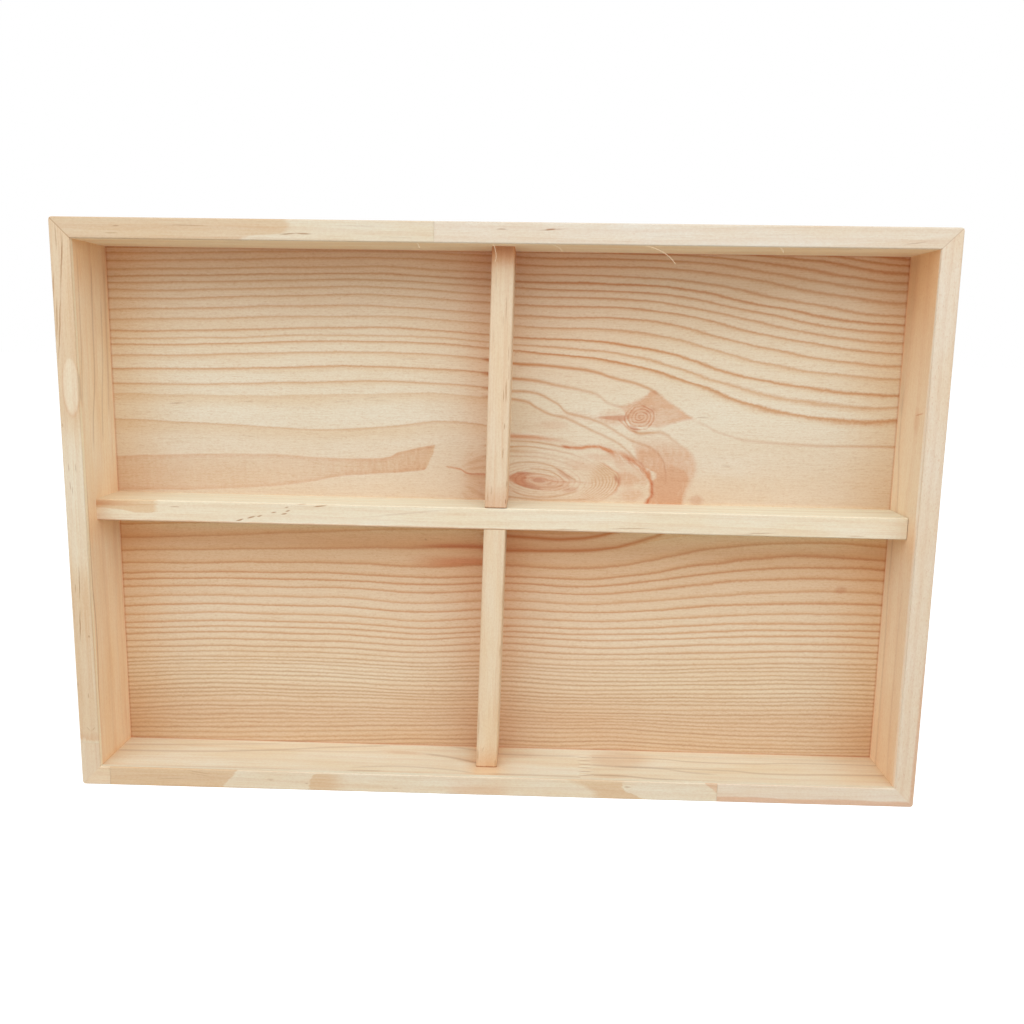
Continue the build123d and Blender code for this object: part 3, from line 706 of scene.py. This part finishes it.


# One entry for each board. Marks are given along the grain and across it, in mm:
# patches: darker areas inside their edges, which are lines (points along the other way) or places; wood
# figure, and painted shade at the dividers' ends
# dashes: along, across, half length, half width, slope, darkness; marksTo: they stop this far back
# veins: lines of points along and front to back, width, darkness; sideDashes: dashes on the wide face
# ovals: pale figures (along, across, half length, half width); comb: the joint's ends and glue lines
# inside: the tone behind "front", paler on the inner faces as painted light; strip: painted light along the
# front edge, as far back as its line
# cornerShade: how strong the painted shade in the corners is along the board, behind "from"; foot: dark line
# of the joint below
# fall: slope, start and height of the shelf's grain; rings, fine, speckle: strength of each
boards = {
    "bottom_rail_front_left": {
        "grain": "x", "seed": 1, "tone": (229, 211, 184),
        "inside": (227, 223, 204), "front": -19.8,
        "dashes": [(-193.5, 1.8, 1.0, 0.35, 55, 0.7)],
    },
    "bottom_rail_front_middle": {
        "grain": "x", "seed": 2, "tone": (228, 217, 195),
        "inside": (227, 223, 204), "front": -19.8,
        "patches": [
            {"right": [(0, -128.3), (0.5, -128), (5, -124), (9, -120.8)], "tint": "tan", "amount": 0.95},
            {"left": [(0, -86.3), (4.7, -86.3), (8, -84.2), (9, -78)], "right": [(0, -73), (9, -73)],
             "soft": 0.5,
             "softRight": 6.0, "high": 8.4, "tint": "tan", "amount": 0.9},
            {"left": [(0, -20), (9, -20)], "right": [(0, 6), (9, 6)], "soft": 5, "softRight": 5, "high": 6.0,
             "tint": "rose", "amount": 0.4},
            {"left": [(0, 48.5), (4, 46.5), (6.5, 41), (9, 35)],
             "right": [(0, 71), (3, 64.5), (4.4, 61.5), (5, 60.8), (9, 60.8)],
             "soft": 3.0, "softRight": 0.5, "high": 8.7, "tint": "tan", "amount": 1.0},
            {"left": [(0, 108), (4.3, 104.2), (9, 98.3)], "tint": "rose", "amount": 0.6},
        ],
        "dashes": [(-88, 3.5, 1.0, 0.3, 0, 0.5), (-46.1, 2.2, 1.8, 0.25, 0, 0.4),
                   (62.6, 6.2, 1.8, 0.3, 0, 0.7), (-105, 4.8, 2.0, 0.8, 0, 0.25),
                   (-139, 7.5, 6, 0.3, -8, 0.35), (-139, 6.4, 6, 0.25, -8, 0.3),
                   (-152, 4.1, 8, 0.25, 2, 0.3)],
    },
    "bottom_rail_front_right": {
        "grain": "x", "seed": 3, "tone": (228, 217, 200), "fine": 0.2,
        "inside": (226, 220, 200), "front": -19.8,
        "patches": [{"high": [(100, 2.3), (118, 2.9), (140, 2.4), (165, 2.9), (182, 2.5), (196, 3.2)],
                     "tint": "rose", "amount": 0.75}],
    },
    "bottom_rail_rear_left": {
        "grain": "x", "seed": 4, "tone": (231, 228, 212),
        "veins": [([(-186, -0.6), (-146, 0.3), (-110, 4.4), (-82, 9.4), (-56, 13)], 0.9, 0.4),
                  ([(-186, 6), (-150, 8.5), (-110, 12)], 0.9, 0.3),
                  ([(-132, 3), (-100, 4), (-66, 5), (-56, 6.2)], 0.7, 0.25),
                  ([(-34, 4.4), (-22, 1.2), (-10, -3.7), (-4, -7)], 1.0, 0.5),
                  ([(-66, -13), (-56, -11.4), (-46, -10.6), (-34, -11.3), (-10, -15.6)], 0.7, 0.35),
                  ([(-80, -20), (-72, -18.4), (-66, -17), (-54, -16.3)], 0.7, 0.5),
                  ([(-186, -18), (-166, -17.8), (-126, -17), (-90, -18.5)], 0.6, 0.3),
                  ([(0, -16.3), (24, -16.3), (46, -18)], 0.7, 0.4),
                  ([(-20, 13), (-8, 10), (0, 7), (40, 6.6)], 1.0, 0.4)],
        "sideDashes": [(-46, 5.6, 13, 2.4, -4, 0.28), (-14, -1, 9, 3.5, -20, 0.2), (10, 6, 14, 4, 0, 0.2)],
        "cornerShade": [(-187, 0.8), (-184.5, 0.35), (-172, 0.12), (-30, 0.05), (-16, 0.1), (-11, 0.5),
                 (-8.5, 0.8), (1, 0.8), (3.5, 0.5), (9, 0.2), (20, 0.0), (50, 0.0)],
        "comb": (40.0, 47.0, [5.5, 1.5, -2.5, -6.6, -10.7, -15]),
    },
    "bottom_rail_rear_right": {
        "grain": "x", "seed": 5, "tone": (230, 226, 209),
        "veins": [([(40, 5.5), (47, 5.6), (74, 6), (94, 3.8), (118, 3.1), (142, 4.8), (164, 5.3), (190, 5)],
                   0.6, 0.5),
                  ([(40, -2.6), (47, -3.1), (62, -4.4), (78, -5), (94, -8.8), (104, -10)], 0.8, 0.4),
                  ([(60, -4.2), (74, -4.4), (114, -5.6), (134, -8), (162, -6.9), (190, -6)], 0.8, 0.45),
                  ([(40, -14), (47, -14.3), (58, -14.4), (74, -16.5), (94, -17.8), (120, -18.2)], 0.8, 0.6),
                  ([(60, 11), (80, 10), (130, 9.5), (190, 11)], 0.8, 0.22)],
        "sideDashes": [(60, 4, 18, 13, 0, 0.3), (55, -15, 10, 3, 0, 0.15)],
        "cornerShade": [(35, 0.0), (160, 0.05), (172, 0.3), (183, 0.4), (185, 0.6), (187, 0.9)],
        "comb": (40.0, 47.0, [5.5, 1.5, -2.5, -6.6, -10.7, -15]),
    },
    "top_rail_front_left": {
        "grain": "x", "seed": 6, "tone": (226, 217, 197),
        "inside": (254, 240, 210), "front": -19.8,
        "patches": [
            {"right": [(250, -112), (251.8, -111), (253, -107), (253.5, -99), (254.3, -93), (260, -92)],
             "softRight": 2.0, "tint": "tan", "amount": 0.85},
        ],
        "dashes": [(-165.6, 256.3, 1.9, 0.28, 0, 0.6), (-167.6, 253.3, 3.6, 0.25, 0, 0.5),
                   (-135.3, 256.9, 11, 0.3, 0, 0.45), (-91, 253.9, 4, 0.38, 4, 0.8),
                   (-84.4, 254.1, 4, 0.38, -2, 0.8), (-60, 257.5, 12, 0.3, 0, 0.2),
                   (-45, 253, 9, 0.3, 0, 0.2)],
    },
    "top_rail_front_right": {
        "grain": "x", "seed": 7, "tone": (228, 219, 204), "fine": 0.12,
        "inside": (254, 240, 210), "front": -19.8,
        "patches": [{"left": [(250, 118), (252, 140), (254, 168), (256, 186), (260, 200)], "soft": 5.0,
                     "tint": "tan",
                     "amount": 0.3}],
        "dashes": [(0.5, 256.9, 2.8, 0.3, 0, 0.7), (22, 257.0, 6.5, 0.28, 3, 0.5),
                   (21.2, 257.1, 2.4, 0.42, 3, 0.8), (175, 253.3, 5.5, 0.3, 8, 0.4),
                   (70, 254.6, 12, 0.25, 0, 0.15), (120, 256, 14, 0.25, 0, 0.15)],
    },
    # its pale tone is painted light on the shaded inner face
    "top_rail_rear": {"grain": "x", "seed": 8, "tone": (254, 240, 210)},
    "left_stile_front_lower": {
        "grain": "z", "seed": 9, "tone": (226, 208, 182),
        "inside": (252, 239, 210), "front": -19.8,
    },
    "left_stile_front_upper": {
        "grain": "z", "seed": 10, "tone": (229, 216, 192), "fine": 0.6,
        "inside": (252, 239, 210), "front": -19.8,
        "patches": [
            {"left": [(-196, 21.6), (-192, 22.3), (-189, 21.4), (-185, 22)],
             "right": [(-196, 100), (-185, 100)], "softRight": 14, "tint": "tan", "amount": 0.62},
            {"left": [(-196, 21.4), (-185, 22)], "right": [(-196, 25), (-185, 25)], "softRight": 1.5,
             "tint": "rose",
             "amount": 0.25},
            {"left": [(-196, 168), (-185, 168)], "soft": 10, "tint": "tan", "amount": 0.62},
        ],
        "dashes": [(44, -189.7, 1.5, 0.3, 0, 0.5), (49.4, -194.3, 1.6, 0.3, 0, 0.5),
                   (78.5, -191.6, 9, 0.3, 2.5, 0.85), (98, -190.8, 10, 0.27, 2.5, 0.7),
                   (72.7, -187.8, 0.7, 0.5, 0, 0.5), (95.5, -192.7, 2.4, 0.3, 0, 0.5),
                   (140.7, -191.4, 2.2, 0.3, 0, 0.45), (143, -192.2, 2.2, 0.3, 0, 0.45),
                   (151, -189.2, 2.2, 0.3, 0, 0.45), (151, -192.4, 2.2, 0.3, 0, 0.45),
                   (170, -194.2, 1, 0.3, 0, 0.5), (213, -192.6, 17, 0.34, 5.5, 0.75),
                   (240, -190.2, 14, 0.34, 5.5, 0.75), (216.4, -193.6, 9.5, 0.34, 3.5, 0.7),
                   (231, -194.2, 6, 0.3, 4, 0.7), (251.5, -192, 6.5, 0.38, 0, 0.5),
                   (247, -189.7, 8, 0.3, 0, 0.4), (27.7, -188.2, 1.4, 0.28, 40, 0.35),
                   (27.7, -190.6, 1.4, 0.28, -40, 0.35)],
        "ovals": [(187.2, -189.2, 12.6, 3.7)],
    },
    # its pale tone is painted light on the dimly lit inner face
    "left_stile_rear": {
        "grain": "z", "seed": 11, "tone": (251, 239, 215), "fine": 0.5,
        "cornerShade": [(0, 1.0), (9, 0.85), (12, 0.5), (60, 0.42), (100, 0.35), (112, 0.4), (122, 0.7),
                 (126, 0.7), (137, 0.3), (155, 0.15), (200, 0.2), (225, 0.3), (240, 0.65), (249, 0.75),
                 (252, 1.0), (260, 1.0)],
        "veins": [([(28, -18.6), (52, -16.9), (73, -15.9), (98, -17.3), (135, -17.5), (157, -18),
                    (176, -19.4)], 0.45, 0.7),
                  ([(160, -8.2), (169, -7.5), (193, -3.3), (215, -2.4), (240, -1)], 0.6, 0.5),
                  ([(163, 1.7), (180, 3), (199, 5.8), (225, 7)], 0.6, 0.4),
                  ([(180, -17), (190, -16), (215, -14.5), (245, -14)], 0.5, 0.35),
                  ([(175, 9), (200, 11), (240, 12)], 0.9, 0.3),
                  ([(10, 7), (60, 5), (100, 8), (125, 9)], 0.9, 0.1),
                  ([(10, -6), (50, -4), (100, -5), (125, -4)], 0.9, 0.1)],
    },
    "right_stile": {
        "grain": "z", "seed": 12, "tone": (228, 214, 194), "inside": (249, 233, 206), "front": -19.8,
        "fine": 0.12, "speckle": 1.1,
        "cornerShade": [(0, 0.5), (30, 0.45), (60, 0.25), (100, 0.2), (112, 0.35), (122, 0.65), (126, 0.65),
                 (137, 0.15), (155, 0.15), (190, 0.3), (215, 0.6), (235, 0.95), (260, 1.1)],
        "strip": ((255, 248, 234), [(0, -16.4), (100, -16.8), (150, -16.9), (220, -17.9), (260, -18.2)]),
        "patches": [{"low": [(0, 193.1), (30, 193.4), (60, 193.9), (95, 195.2)],
                     "right": [(185, 70), (196, 70)], "softRight": 25, "tint": "rose", "amount": 0.6}],
        "veins": [([(0, 6.8), (70, 7.6), (106, 8.7), (135, 8.0)], 1.0, 0.3),
                  ([(130, 5.6), (150, 7.5), (172, 10.6), (190, 10)], 0.9, 0.3),
                  ([(180, 12), (205, 11), (230, 9), (251, 8)], 4.0, 0.22),
                  ([(10, -9), (60, -7.6), (100, -8.6)], 0.8, 0.15)],
        "sideDashes": [(181.0, -11, 5.0, 0.4, -80, 0.55), (177.5, -8.5, 7.0, 4.0, 0, 0.22)],
    },
    "shelf": {
        "grain": "x", "seed": 13, "tone": (235, 225, 202), "inside": (231, 227, 206), "front": -9.0,
        "fall": (1.4 / 372, -186, 130.5), "marksTo": -8.3, "from": -8.4,
        "cornerShade": [(-187, 0.6), (-180, 0.5), (-168, 0.3), (-150, 0.0), (187, 0.0)],
        "patches": [
            {"low": [(-187, 0.9), (-183, 0.8), (-172, -0.2), (-166, -1.0), (-160, -0.7), (-156, 0.6)],
             "right": [(-5, -159), (5, -158)], "soft": 0.35, "softRight": 2.0, "tint": "tan", "amount": 1.1,
             "behind": -7.6},
            {"low": 2.0, "high": 4.3, "right": [(-5, -172), (5, -172)], "soft": 0.4, "softRight": 9,
             "tint": "rose",
             "amount": 0.6, "behind": -8.4},
            {"right": [(-5, -181), (5, -181)], "softRight": 5, "tint": "rose", "amount": 0.35,
             "behind": -8.4},
            {"high": -4.3, "right": [(-5, 60), (5, 60)], "soft": 0.3, "softRight": 60, "tint": "rose",
             "amount": 0.8, "behind": -8.2},
        ],
        "dashes": [(-149.3, 2, 2.8, 0.3, 0, 0.6), (-119.3, -3.3, 2.1, 0.36, 14, 1.0),
                   (-113.8, -2, 2.3, 0.36, 14, 1.0), (-110, -1.2, 1.5, 0.36, 15, 0.9),
                   (-103.3, 0.5, 1.5, 0.36, 10, 0.9), (-98.5, 0.1, 1.7, 0.36, 12, 1.0),
                   (-96.8, 1.5, 1.3, 0.36, 15, 0.9), (-97.3, 3, 1.1, 0.34, 10, 0.7),
                   (-90.3, 4.7, 2.5, 0.3, 5, 0.5), (-81.8, 4, 3.8, 0.36, 8, 0.9),
                   (-43, 1.45, 25, 0.5, 6.5, 0.17), (31.5, -4.1, 7, 0.3, 1, 0.55),
                   (60.5, -2.9, 12, 0.3, 2.5, 0.55), (119, -3.7, 10, 0.3, 4, 0.5),
                   (163, -3.9, 5, 0.3, 0, 0.45)],
        "veins": [([(-186, 8), (-100, 5), (0, 7), (100, 4), (186, 6)], 0.6, 0.25)],
    },
    "upper_divider": {
        "grain": "z", "seed": 14, "tone": (229, 211, 185), "fine": 0.5, "foot": (135.1, 0.45),
        "cornerShade": [(130, 0.2), (140, 0.1), (148, 0), (234, 0), (241, 0.2), (246, 0.6), (249, 0.9), (260, 1.0)],
        # painted shade below the top rail and above the shelf
        "patches": [{"left": [(-6, 244), (6, 244)], "soft": 5.0, "tint": "rose", "amount": 0.75},
                    {"left": [(-6, 245), (6, 245)], "soft": 4.0, "tint": "tan", "amount": 0.4},
                    {"right": [(-6, 143), (6, 143)], "softRight": 6.0, "tint": "rose", "amount": 0.45}],
        "dashes": [(160, 1.9, 3.0, 0.32, 1, 0.6), (172.3, 2.4, 1.6, 0.3, 1, 0.6),
                   (188, 3.0, 5.5, 0.34, 2, 0.6), (186, 1.9, 3.5, 0.25, 1, 0.5),
                   (224, 2.6, 7.0, 0.3, 1, 0.45), (219, 1.3, 3.0, 0.25, 1, 0.3),
                   (138, 3.4, 1.6, 0.3, 0, 0.8), (146, 3.7, 2.0, 0.3, 0, 0.5),
                   (143, -3.0, 2.5, 0.3, 0, 0.35), (139.5, -4.6, 3.0, 0.3, 0, 0.4),
                   (205, 3.9, 4.0, 0.3, 1, 0.35), (196, 4.2, 4.0, 0.3, 1, 0.35),
                   (236, -2.2, 6.0, 0.25, 1, 0.25), (212, -3.0, 5.0, 0.25, 1, 0.2)],
    },
    "lower_divider": {
        "grain": "z", "seed": 15, "tone": (230, 212, 184), "foot": (9.4, 0.4),
        # painted shade at the foot, above the bottom rail
        "patches": [{"right": [(-9, 16), (4, 16)], "softRight": 7.0, "tint": "tan", "amount": 0.75},
                    {"right": [(-9, 14), (4, 14)], "softRight": 8.0, "tint": "rose", "amount": 0.3}],
        "dashes": [(30, -7.7, 9.0, 0.35, 1.2, 0.45), (66.5, 1.9, 4.5, 0.3, 1, 0.45),
                   (15, -8.0, 4.0, 0.5, 0, 0.4), (11, 0.4, 2.5, 0.5, 0, 0.35),
                   (18, -5.5, 2.0, 0.3, 20, 0.25), (92, 2.6, 6.0, 0.25, 1, 0.3)],
    },
}
tints = {"tan": tanTint, "rose": roseTint}


def edgeStep(s, value, along, edge, soft, side):                # 1 on the given side of an edge, 0 past it
    place = s.curve(along, edge) if isinstance(edge, list) else edge
    return s.smooth((value - place) * side, -soft, soft)


def patchMask(s, along, across, patch, front):
    soft = patch.get("soft", 0.5)
    mask = None
    for key, value, other, side in (("left", along, across, 1), ("right", along, across, -1),
                                    ("low", across, along, 1), ("high", across, along, -1)):
        if key in patch:
            reach = patch.get("softRight", soft) if key == "right" else soft
            step = edgeStep(s, value, other, patch[key], reach, side)
            mask = step if mask is None else mask * step
    behind = patch.get("behind", front + 0.6)                   # ends this far back from the front
    return mask * s.smooth(s.y, behind + 0.3, behind - 0.3) * patch["amount"]


def boardWood(name, look):
    s = Shader(name.replace("_", " ") + " pine")
    if look["grain"] == "z":
        s.point = s.join(s.z, s.y, s.x)
        s.x, s.y, s.z = s.split(s.point)
    seed = look["seed"]
    along = s.x + s.noise(s.point, (5, 5, 1.0), 3, 0.7, seed * 2.1, spread=2.2)
    across = s.z
    if "fall" in look:
        rate, start, level = look["fall"]
        across = across + (s.x - start) * rate - level
    across = across + s.noise(s.point, (7, 5, 3), 2, 0.5, seed * 2.9, spread=0.35)

    bend = s.noise(s.point, (150, 40, 40), 2, 0.5, seed * 3.7, spread=5.0)
    pithPlace = s.vector("MULTIPLY_ADD", s.point, (0, 1, 1), (0, 25 + seed * 3, 60 - seed * 7))
    radius = s.vector("LENGTH", pithPlace) + bend
    phase = s.math("FRACT", radius / 4.3)
    line = s.smooth(phase, 0.35, 0.9) * s.smooth(phase, 1.0, 0.93)
    fibre = s.noise(s.point, (18, 0.5, 0.35), 3, 0.6, seed * 1.9)
    streak = s.noise(s.point, (45, 1.3, 1.0), 3, 0.6, seed * 4.3)
    fleck = s.noise(s.point, (1.6, 0.5, 0.5), 2, 0.7, seed * 6.7)
    cloud = s.noise(s.point, (40, 9, 9), 2, 0.5, seed * 5.3)

    deep = tuple(c * f for c, f in zip(look["tone"], (0.985, 0.95, 0.90)))
    colour = s.blend(tone(*look["tone"]), tone(*deep), cloud + 0.5)
    # the inner faces take their own paler tone, painted light
    if "inside" in look:
        inward = s.smooth(s.y, look["front"], look["front"] + 0.6)
        colour = s.blend(colour, tone(*look["inside"]), inward)
        if "strip" in look:                                     # painted light on the inner face along the front edge
            pale, edge = look["strip"]
            colour = s.blend(colour, tone(*pale), s.smooth(s.curve(s.x, edge) - s.y, -0.5, 0.5) * inward)
    for patch in look.get("patches", []):
        colour = s.stain(colour, tints[patch["tint"]],
                         patchMask(s, along, across, patch, look.get("front", 90)))
    for midAlong, midAcross, halfLong, halfWide in look.get("ovals", []):
        oval = s.vector("LENGTH", s.join((s.x - midAlong) / halfLong, (s.z - midAcross) / halfWide, 0.0))
        rim = s.bell((oval - 1.0) / 0.13) * s.smooth(s.x, midAlong + halfLong, midAlong)
        colour = s.blend(colour, tone(231, 214, 186), s.smooth(oval, 1.05, 0.9) * 0.9)
        colour = s.stain(colour, roseTint, rim * 0.3)
    colour = s.stain(colour, lateTint, line * look.get("rings", 0.1))
    colour = s.stain(colour, streakTint, s.smooth(streak, -0.05, 0.55) * look.get("fine", 0.35))
    colour = s.stain(colour, boardFibreTint, s.smooth(fibre, -0.1, 0.6))
    colour = s.stain(colour, boardFleckTint, s.smooth(fleck, 0.12, 0.5) * look.get("speckle", 0.45))
    grit = s.noise(s.point, (1.3, 0.6, 0.6), 3, 0.75, seed * 8.3)
    colour = s.stain(colour, gritTint, s.smooth(grit, -0.3, 0.3) * 0.8)
    inner = 1.0                                                 # 0 on the frame's outer faces
    if "stile" in name:
        inner = s.smooth(s.math("ABSOLUTE", s.z), 190, 188)
    elif "rail" in name:
        inner = s.smooth(s.math("ABSOLUTE", s.z - 130), 125, 123)
    # painted shade in the inner corners, along the board
    if "cornerShade" in look:
        start = look.get("from", -19.4)
        deepIn = s.curve(s.x, look["cornerShade"], smooth=False) * s.smooth(s.y, start, start + 1)
        colour = s.stain(colour, cornerShadeTint, deepIn * inner)
    # painted shade in the crease next to the back panel
    colour = s.stain(colour, cornerShadeTint, s.smooth(s.y, 13.4, 14.8) * inner * 0.35)
    for points, width, dark in look.get("veins", []):
        vein = stroke(s, s.x, s.y, points, width, 4.0)
        colour = s.stain(colour, umberTint, vein * inner * (dark * 1.2))
    for midAlong, midY, halfLong, halfWide, slope, dark in look.get("sideDashes", []):
        mark = dash(s, s.x, s.y, midAlong, midY, halfLong, halfWide, slope)
        colour = s.stain(colour, lateTint, mark * inner * dark)
    if "comb" in look:                                          # glue lines between the fingers of the joint
        first, last, places = look["comb"]
        for place in places:
            glue = dash(s, s.x, s.y, (first + last) / 2, place, (last - first) / 1.7, 0.5, 0)
            colour = s.stain(colour, resinTint, glue * 0.6)
            light = dash(s, s.x, s.y, (first + last) / 2, place + 1.9, (last - first) / 1.7, 0.8, 0)
            colour = s.stain(colour, combLight, light)
    marks = marked(s, s.x, across, look["dashes"]) if "dashes" in look else None
    if "rail" in name or "stile" in name:                       # thin lines of the upper mitres, on the front
        acrossAll, upAll = (s.x, s.z) if look["grain"] == "x" else (s.z, s.x)
        gap = s.math("ABSOLUTE", s.math("ABSOLUTE", acrossAll) - upAll + 65)
        gap = (s.smooth(gap, 0.4, 0.12) * s.smooth(upAll, 249.6, 250.6)
               * s.smooth(s.y, frontFace, frontFace - 0.4))
        colour = s.stain(colour, resinTint, gap * s.smooth(acrossAll, 0, 1, 0.6, 0.35))
    if "foot" in look:                                          # dark line of the joint at the lower end
        level, high = look["foot"]
        uneven = s.noise(s.point, (1.5, 2, 2), 2, 0.6, seed * 4.7, spread=high)
        colour = s.stain(colour, resinTint, s.smooth(s.x + uneven, level + high, level) * 0.9)
    if marks is not None:
        if "marksTo" in look:                                   # marks on the front face only
            marks = marks * s.smooth(s.y, look["marksTo"] + 0.2, look["marksTo"] - 0.2)
        colour = s.stain(colour, resinTint, marks)
    colour = s.stain(colour, daylight, 1.0)
    return s.finish(colour, 0.6, line * 0.15 + fibre * 0.3 + fleck * 0.15, relief=0.05)


def bradSteel():
    s = Shader("brad steel")
    drawn = s.noise(s.point, (0.3, 0.3, 0.3), 3, 0.6, 2.0)
    colour = s.blend(tone(186, 184, 180), tone(140, 138, 134), drawn + 0.5)
    return s.finish(colour, 0.35, drawn, 0.02, metallic=1.0)


def dress(name, material):
    slots = nodes[name].data.materials
    if len(slots) == 0:
        slots.append(material)
    for index in range(len(slots)):
        slots[index] = material


# Loose fibres on the lower edge of the top rail

fibres = {
    "thickness": 0.1, "bend": 0.42, "steps": 12, "seed": 4, "wander": 0.25,
    # where each one leaves the wood, X, Y, Z, then its length and how far it leans down, in degrees
    "places": [(-3.2, -19.4, 251.1, 7.4, 58), (60.5, -19.4, 251.1, 15.5, 4), (20.8, -19.4, 250.98, 6.2, 1),
               (45.8, -19.4, 250.98, 5.2, 176), (-36.0, -19.4, 251.1, 2.6, 35),
               (118.0, -19.4, 251.1, 3.1, 24)],
}


def fibreTree(material):
    tree = bpy.data.node_groups.new("loose fibres", "GeometryNodeTree")
    sockets = {}
    for name, kind in (("Geometry", "NodeSocketGeometry"), ("Thickness", "NodeSocketFloat"),
                       ("Bend", "NodeSocketFloat"), ("Steps", "NodeSocketInt"), ("Wander", "NodeSocketFloat"),
                       ("Seed", "NodeSocketInt")):
        sockets[name] = tree.interface.new_socket(name, in_out="INPUT", socket_type=kind).identifier
    tree.interface.new_socket("Geometry", in_out="OUTPUT", socket_type="NodeSocketGeometry")
    given, result = addNode(tree, "NodeGroupInput"), addNode(tree, "NodeGroupOutput")

    # one fibre, 1 long, drooping by the bend at its tip
    down = addNode(tree, "ShaderNodeMath", {0: given.outputs["Bend"], 1: -1.0}, operation="MULTIPLY")
    tip = addNode(tree, "ShaderNodeCombineXYZ", {"X": 0.95, "Z": down.outputs[0]})
    shape = addNode(tree, "GeometryNodeCurveQuadraticBezier", {
        "Start": (0, 0, 0), "Middle": (0.65, 0, -0.05), "End": tip.outputs[0],
        "Resolution": given.outputs["Steps"]})
    reach, lean = (addNode(tree, "GeometryNodeInputNamedAttribute", {"Name": name}, data_type="FLOAT")
                   for name in ("reach", "lean"))
    aside = addNode(tree, "FunctionNodeRandomValue", {"Seed": given.outputs["Seed"]}, data_type="FLOAT")
    wide = addNode(tree, "ShaderNodeMath", {0: aside.outputs[1], 1: given.outputs["Wander"]},
                   operation="MULTIPLY")
    turn = addNode(tree, "ShaderNodeCombineXYZ", {"Y": lean.outputs["Attribute"], "Z": wide.outputs[0]})
    placed = addNode(tree, "GeometryNodeInstanceOnPoints", {
        "Points": given.outputs["Geometry"], "Instance": shape.outputs["Curve"],
        "Rotation": turn.outputs[0], "Scale": reach.outputs["Attribute"]})
    apart = addNode(tree, "GeometryNodeRealizeInstances", {"Geometry": placed.outputs["Instances"]})

    # thinner towards the tip
    along = addNode(tree, "GeometryNodeSplineParameter")
    taper = addNode(tree, "ShaderNodeMapRange", {
        "Value": along.outputs["Factor"], "To Min": 1.0, "To Max": 0.25})
    thin = addNode(tree, "GeometryNodeSetCurveRadius", {
        "Curve": apart.outputs["Geometry"], "Radius": taper.outputs["Result"]})
    ring = addNode(tree, "GeometryNodeCurvePrimitiveCircle", {
        "Resolution": 6, "Radius": given.outputs["Thickness"]})
    body = addNode(tree, "GeometryNodeCurveToMesh", {
        "Fill Caps": True, "Curve": thin.outputs["Curve"], "Profile Curve": ring.outputs["Curve"]})
    whole = addNode(tree, "GeometryNodeRealizeInstances", {"Geometry": body.outputs["Mesh"]})
    paint = addNode(tree, "GeometryNodeSetMaterial", {
        "Geometry": whole.outputs["Geometry"], "Material": material})
    feed(tree, result.inputs["Geometry"], paint.outputs["Geometry"])
    return tree, sockets


def fibreWood():
    s = Shader("loose fibre pine")
    strand = s.noise(s.point, (3, 0.2, 0.2), 2, 0.5, 1.3)
    colour = s.blend(tone(250, 232, 200), tone(244, 220, 184), strand + 0.5)
    return s.finish(colour, 0.5, strand, relief=0.01)


def makeFibres():
    mesh = bpy.data.meshes.new("fibre roots")
    mesh.from_pydata([tuple(v * mm for v in place[:3]) for place in fibres["places"]], [], [])
    for name, column, scale in (("reach", 3, mm), ("lean", 4, math.pi / 180)):
        values = mesh.attributes.new(name, "FLOAT", "POINT")
        for item, place in zip(values.data, fibres["places"]):
            item.value = place[column] * scale
    piece = bpy.data.objects.new("loose_fibres", mesh)
    bpy.context.scene.collection.objects.link(piece)
    material = fibreWood()
    tree, sockets = fibreTree(material)
    growth = piece.modifiers.new("fibres", "NODES")
    growth.node_group = tree
    for name, value in (("Thickness", fibres["thickness"] * mm), ("Bend", fibres["bend"]),
                        ("Steps", fibres["steps"]), ("Wander", fibres["wander"]), ("Seed", fibres["seed"])):
        growth[sockets[name]] = value
    seen = piece.evaluated_get(bpy.context.evaluated_depsgraph_get())
    plain = bpy.data.meshes.new_from_object(seen)
    piece.modifiers.clear()
    piece.data = plain
    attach(piece, "root")
    print("loose fibres:", len(plain.polygons), "faces")


for name, look in boards.items():
    dress(name, boardWood(name, look))
dress("back_panel", backPanelWood())
steel = bradSteel()
for name in ("corner_brads", "shelf_brads", "divider_brads", "back_panel_brads"):
    dress(name, steel)
print("pine and steel on all", len(nodes), "nodes")
makeFibres()
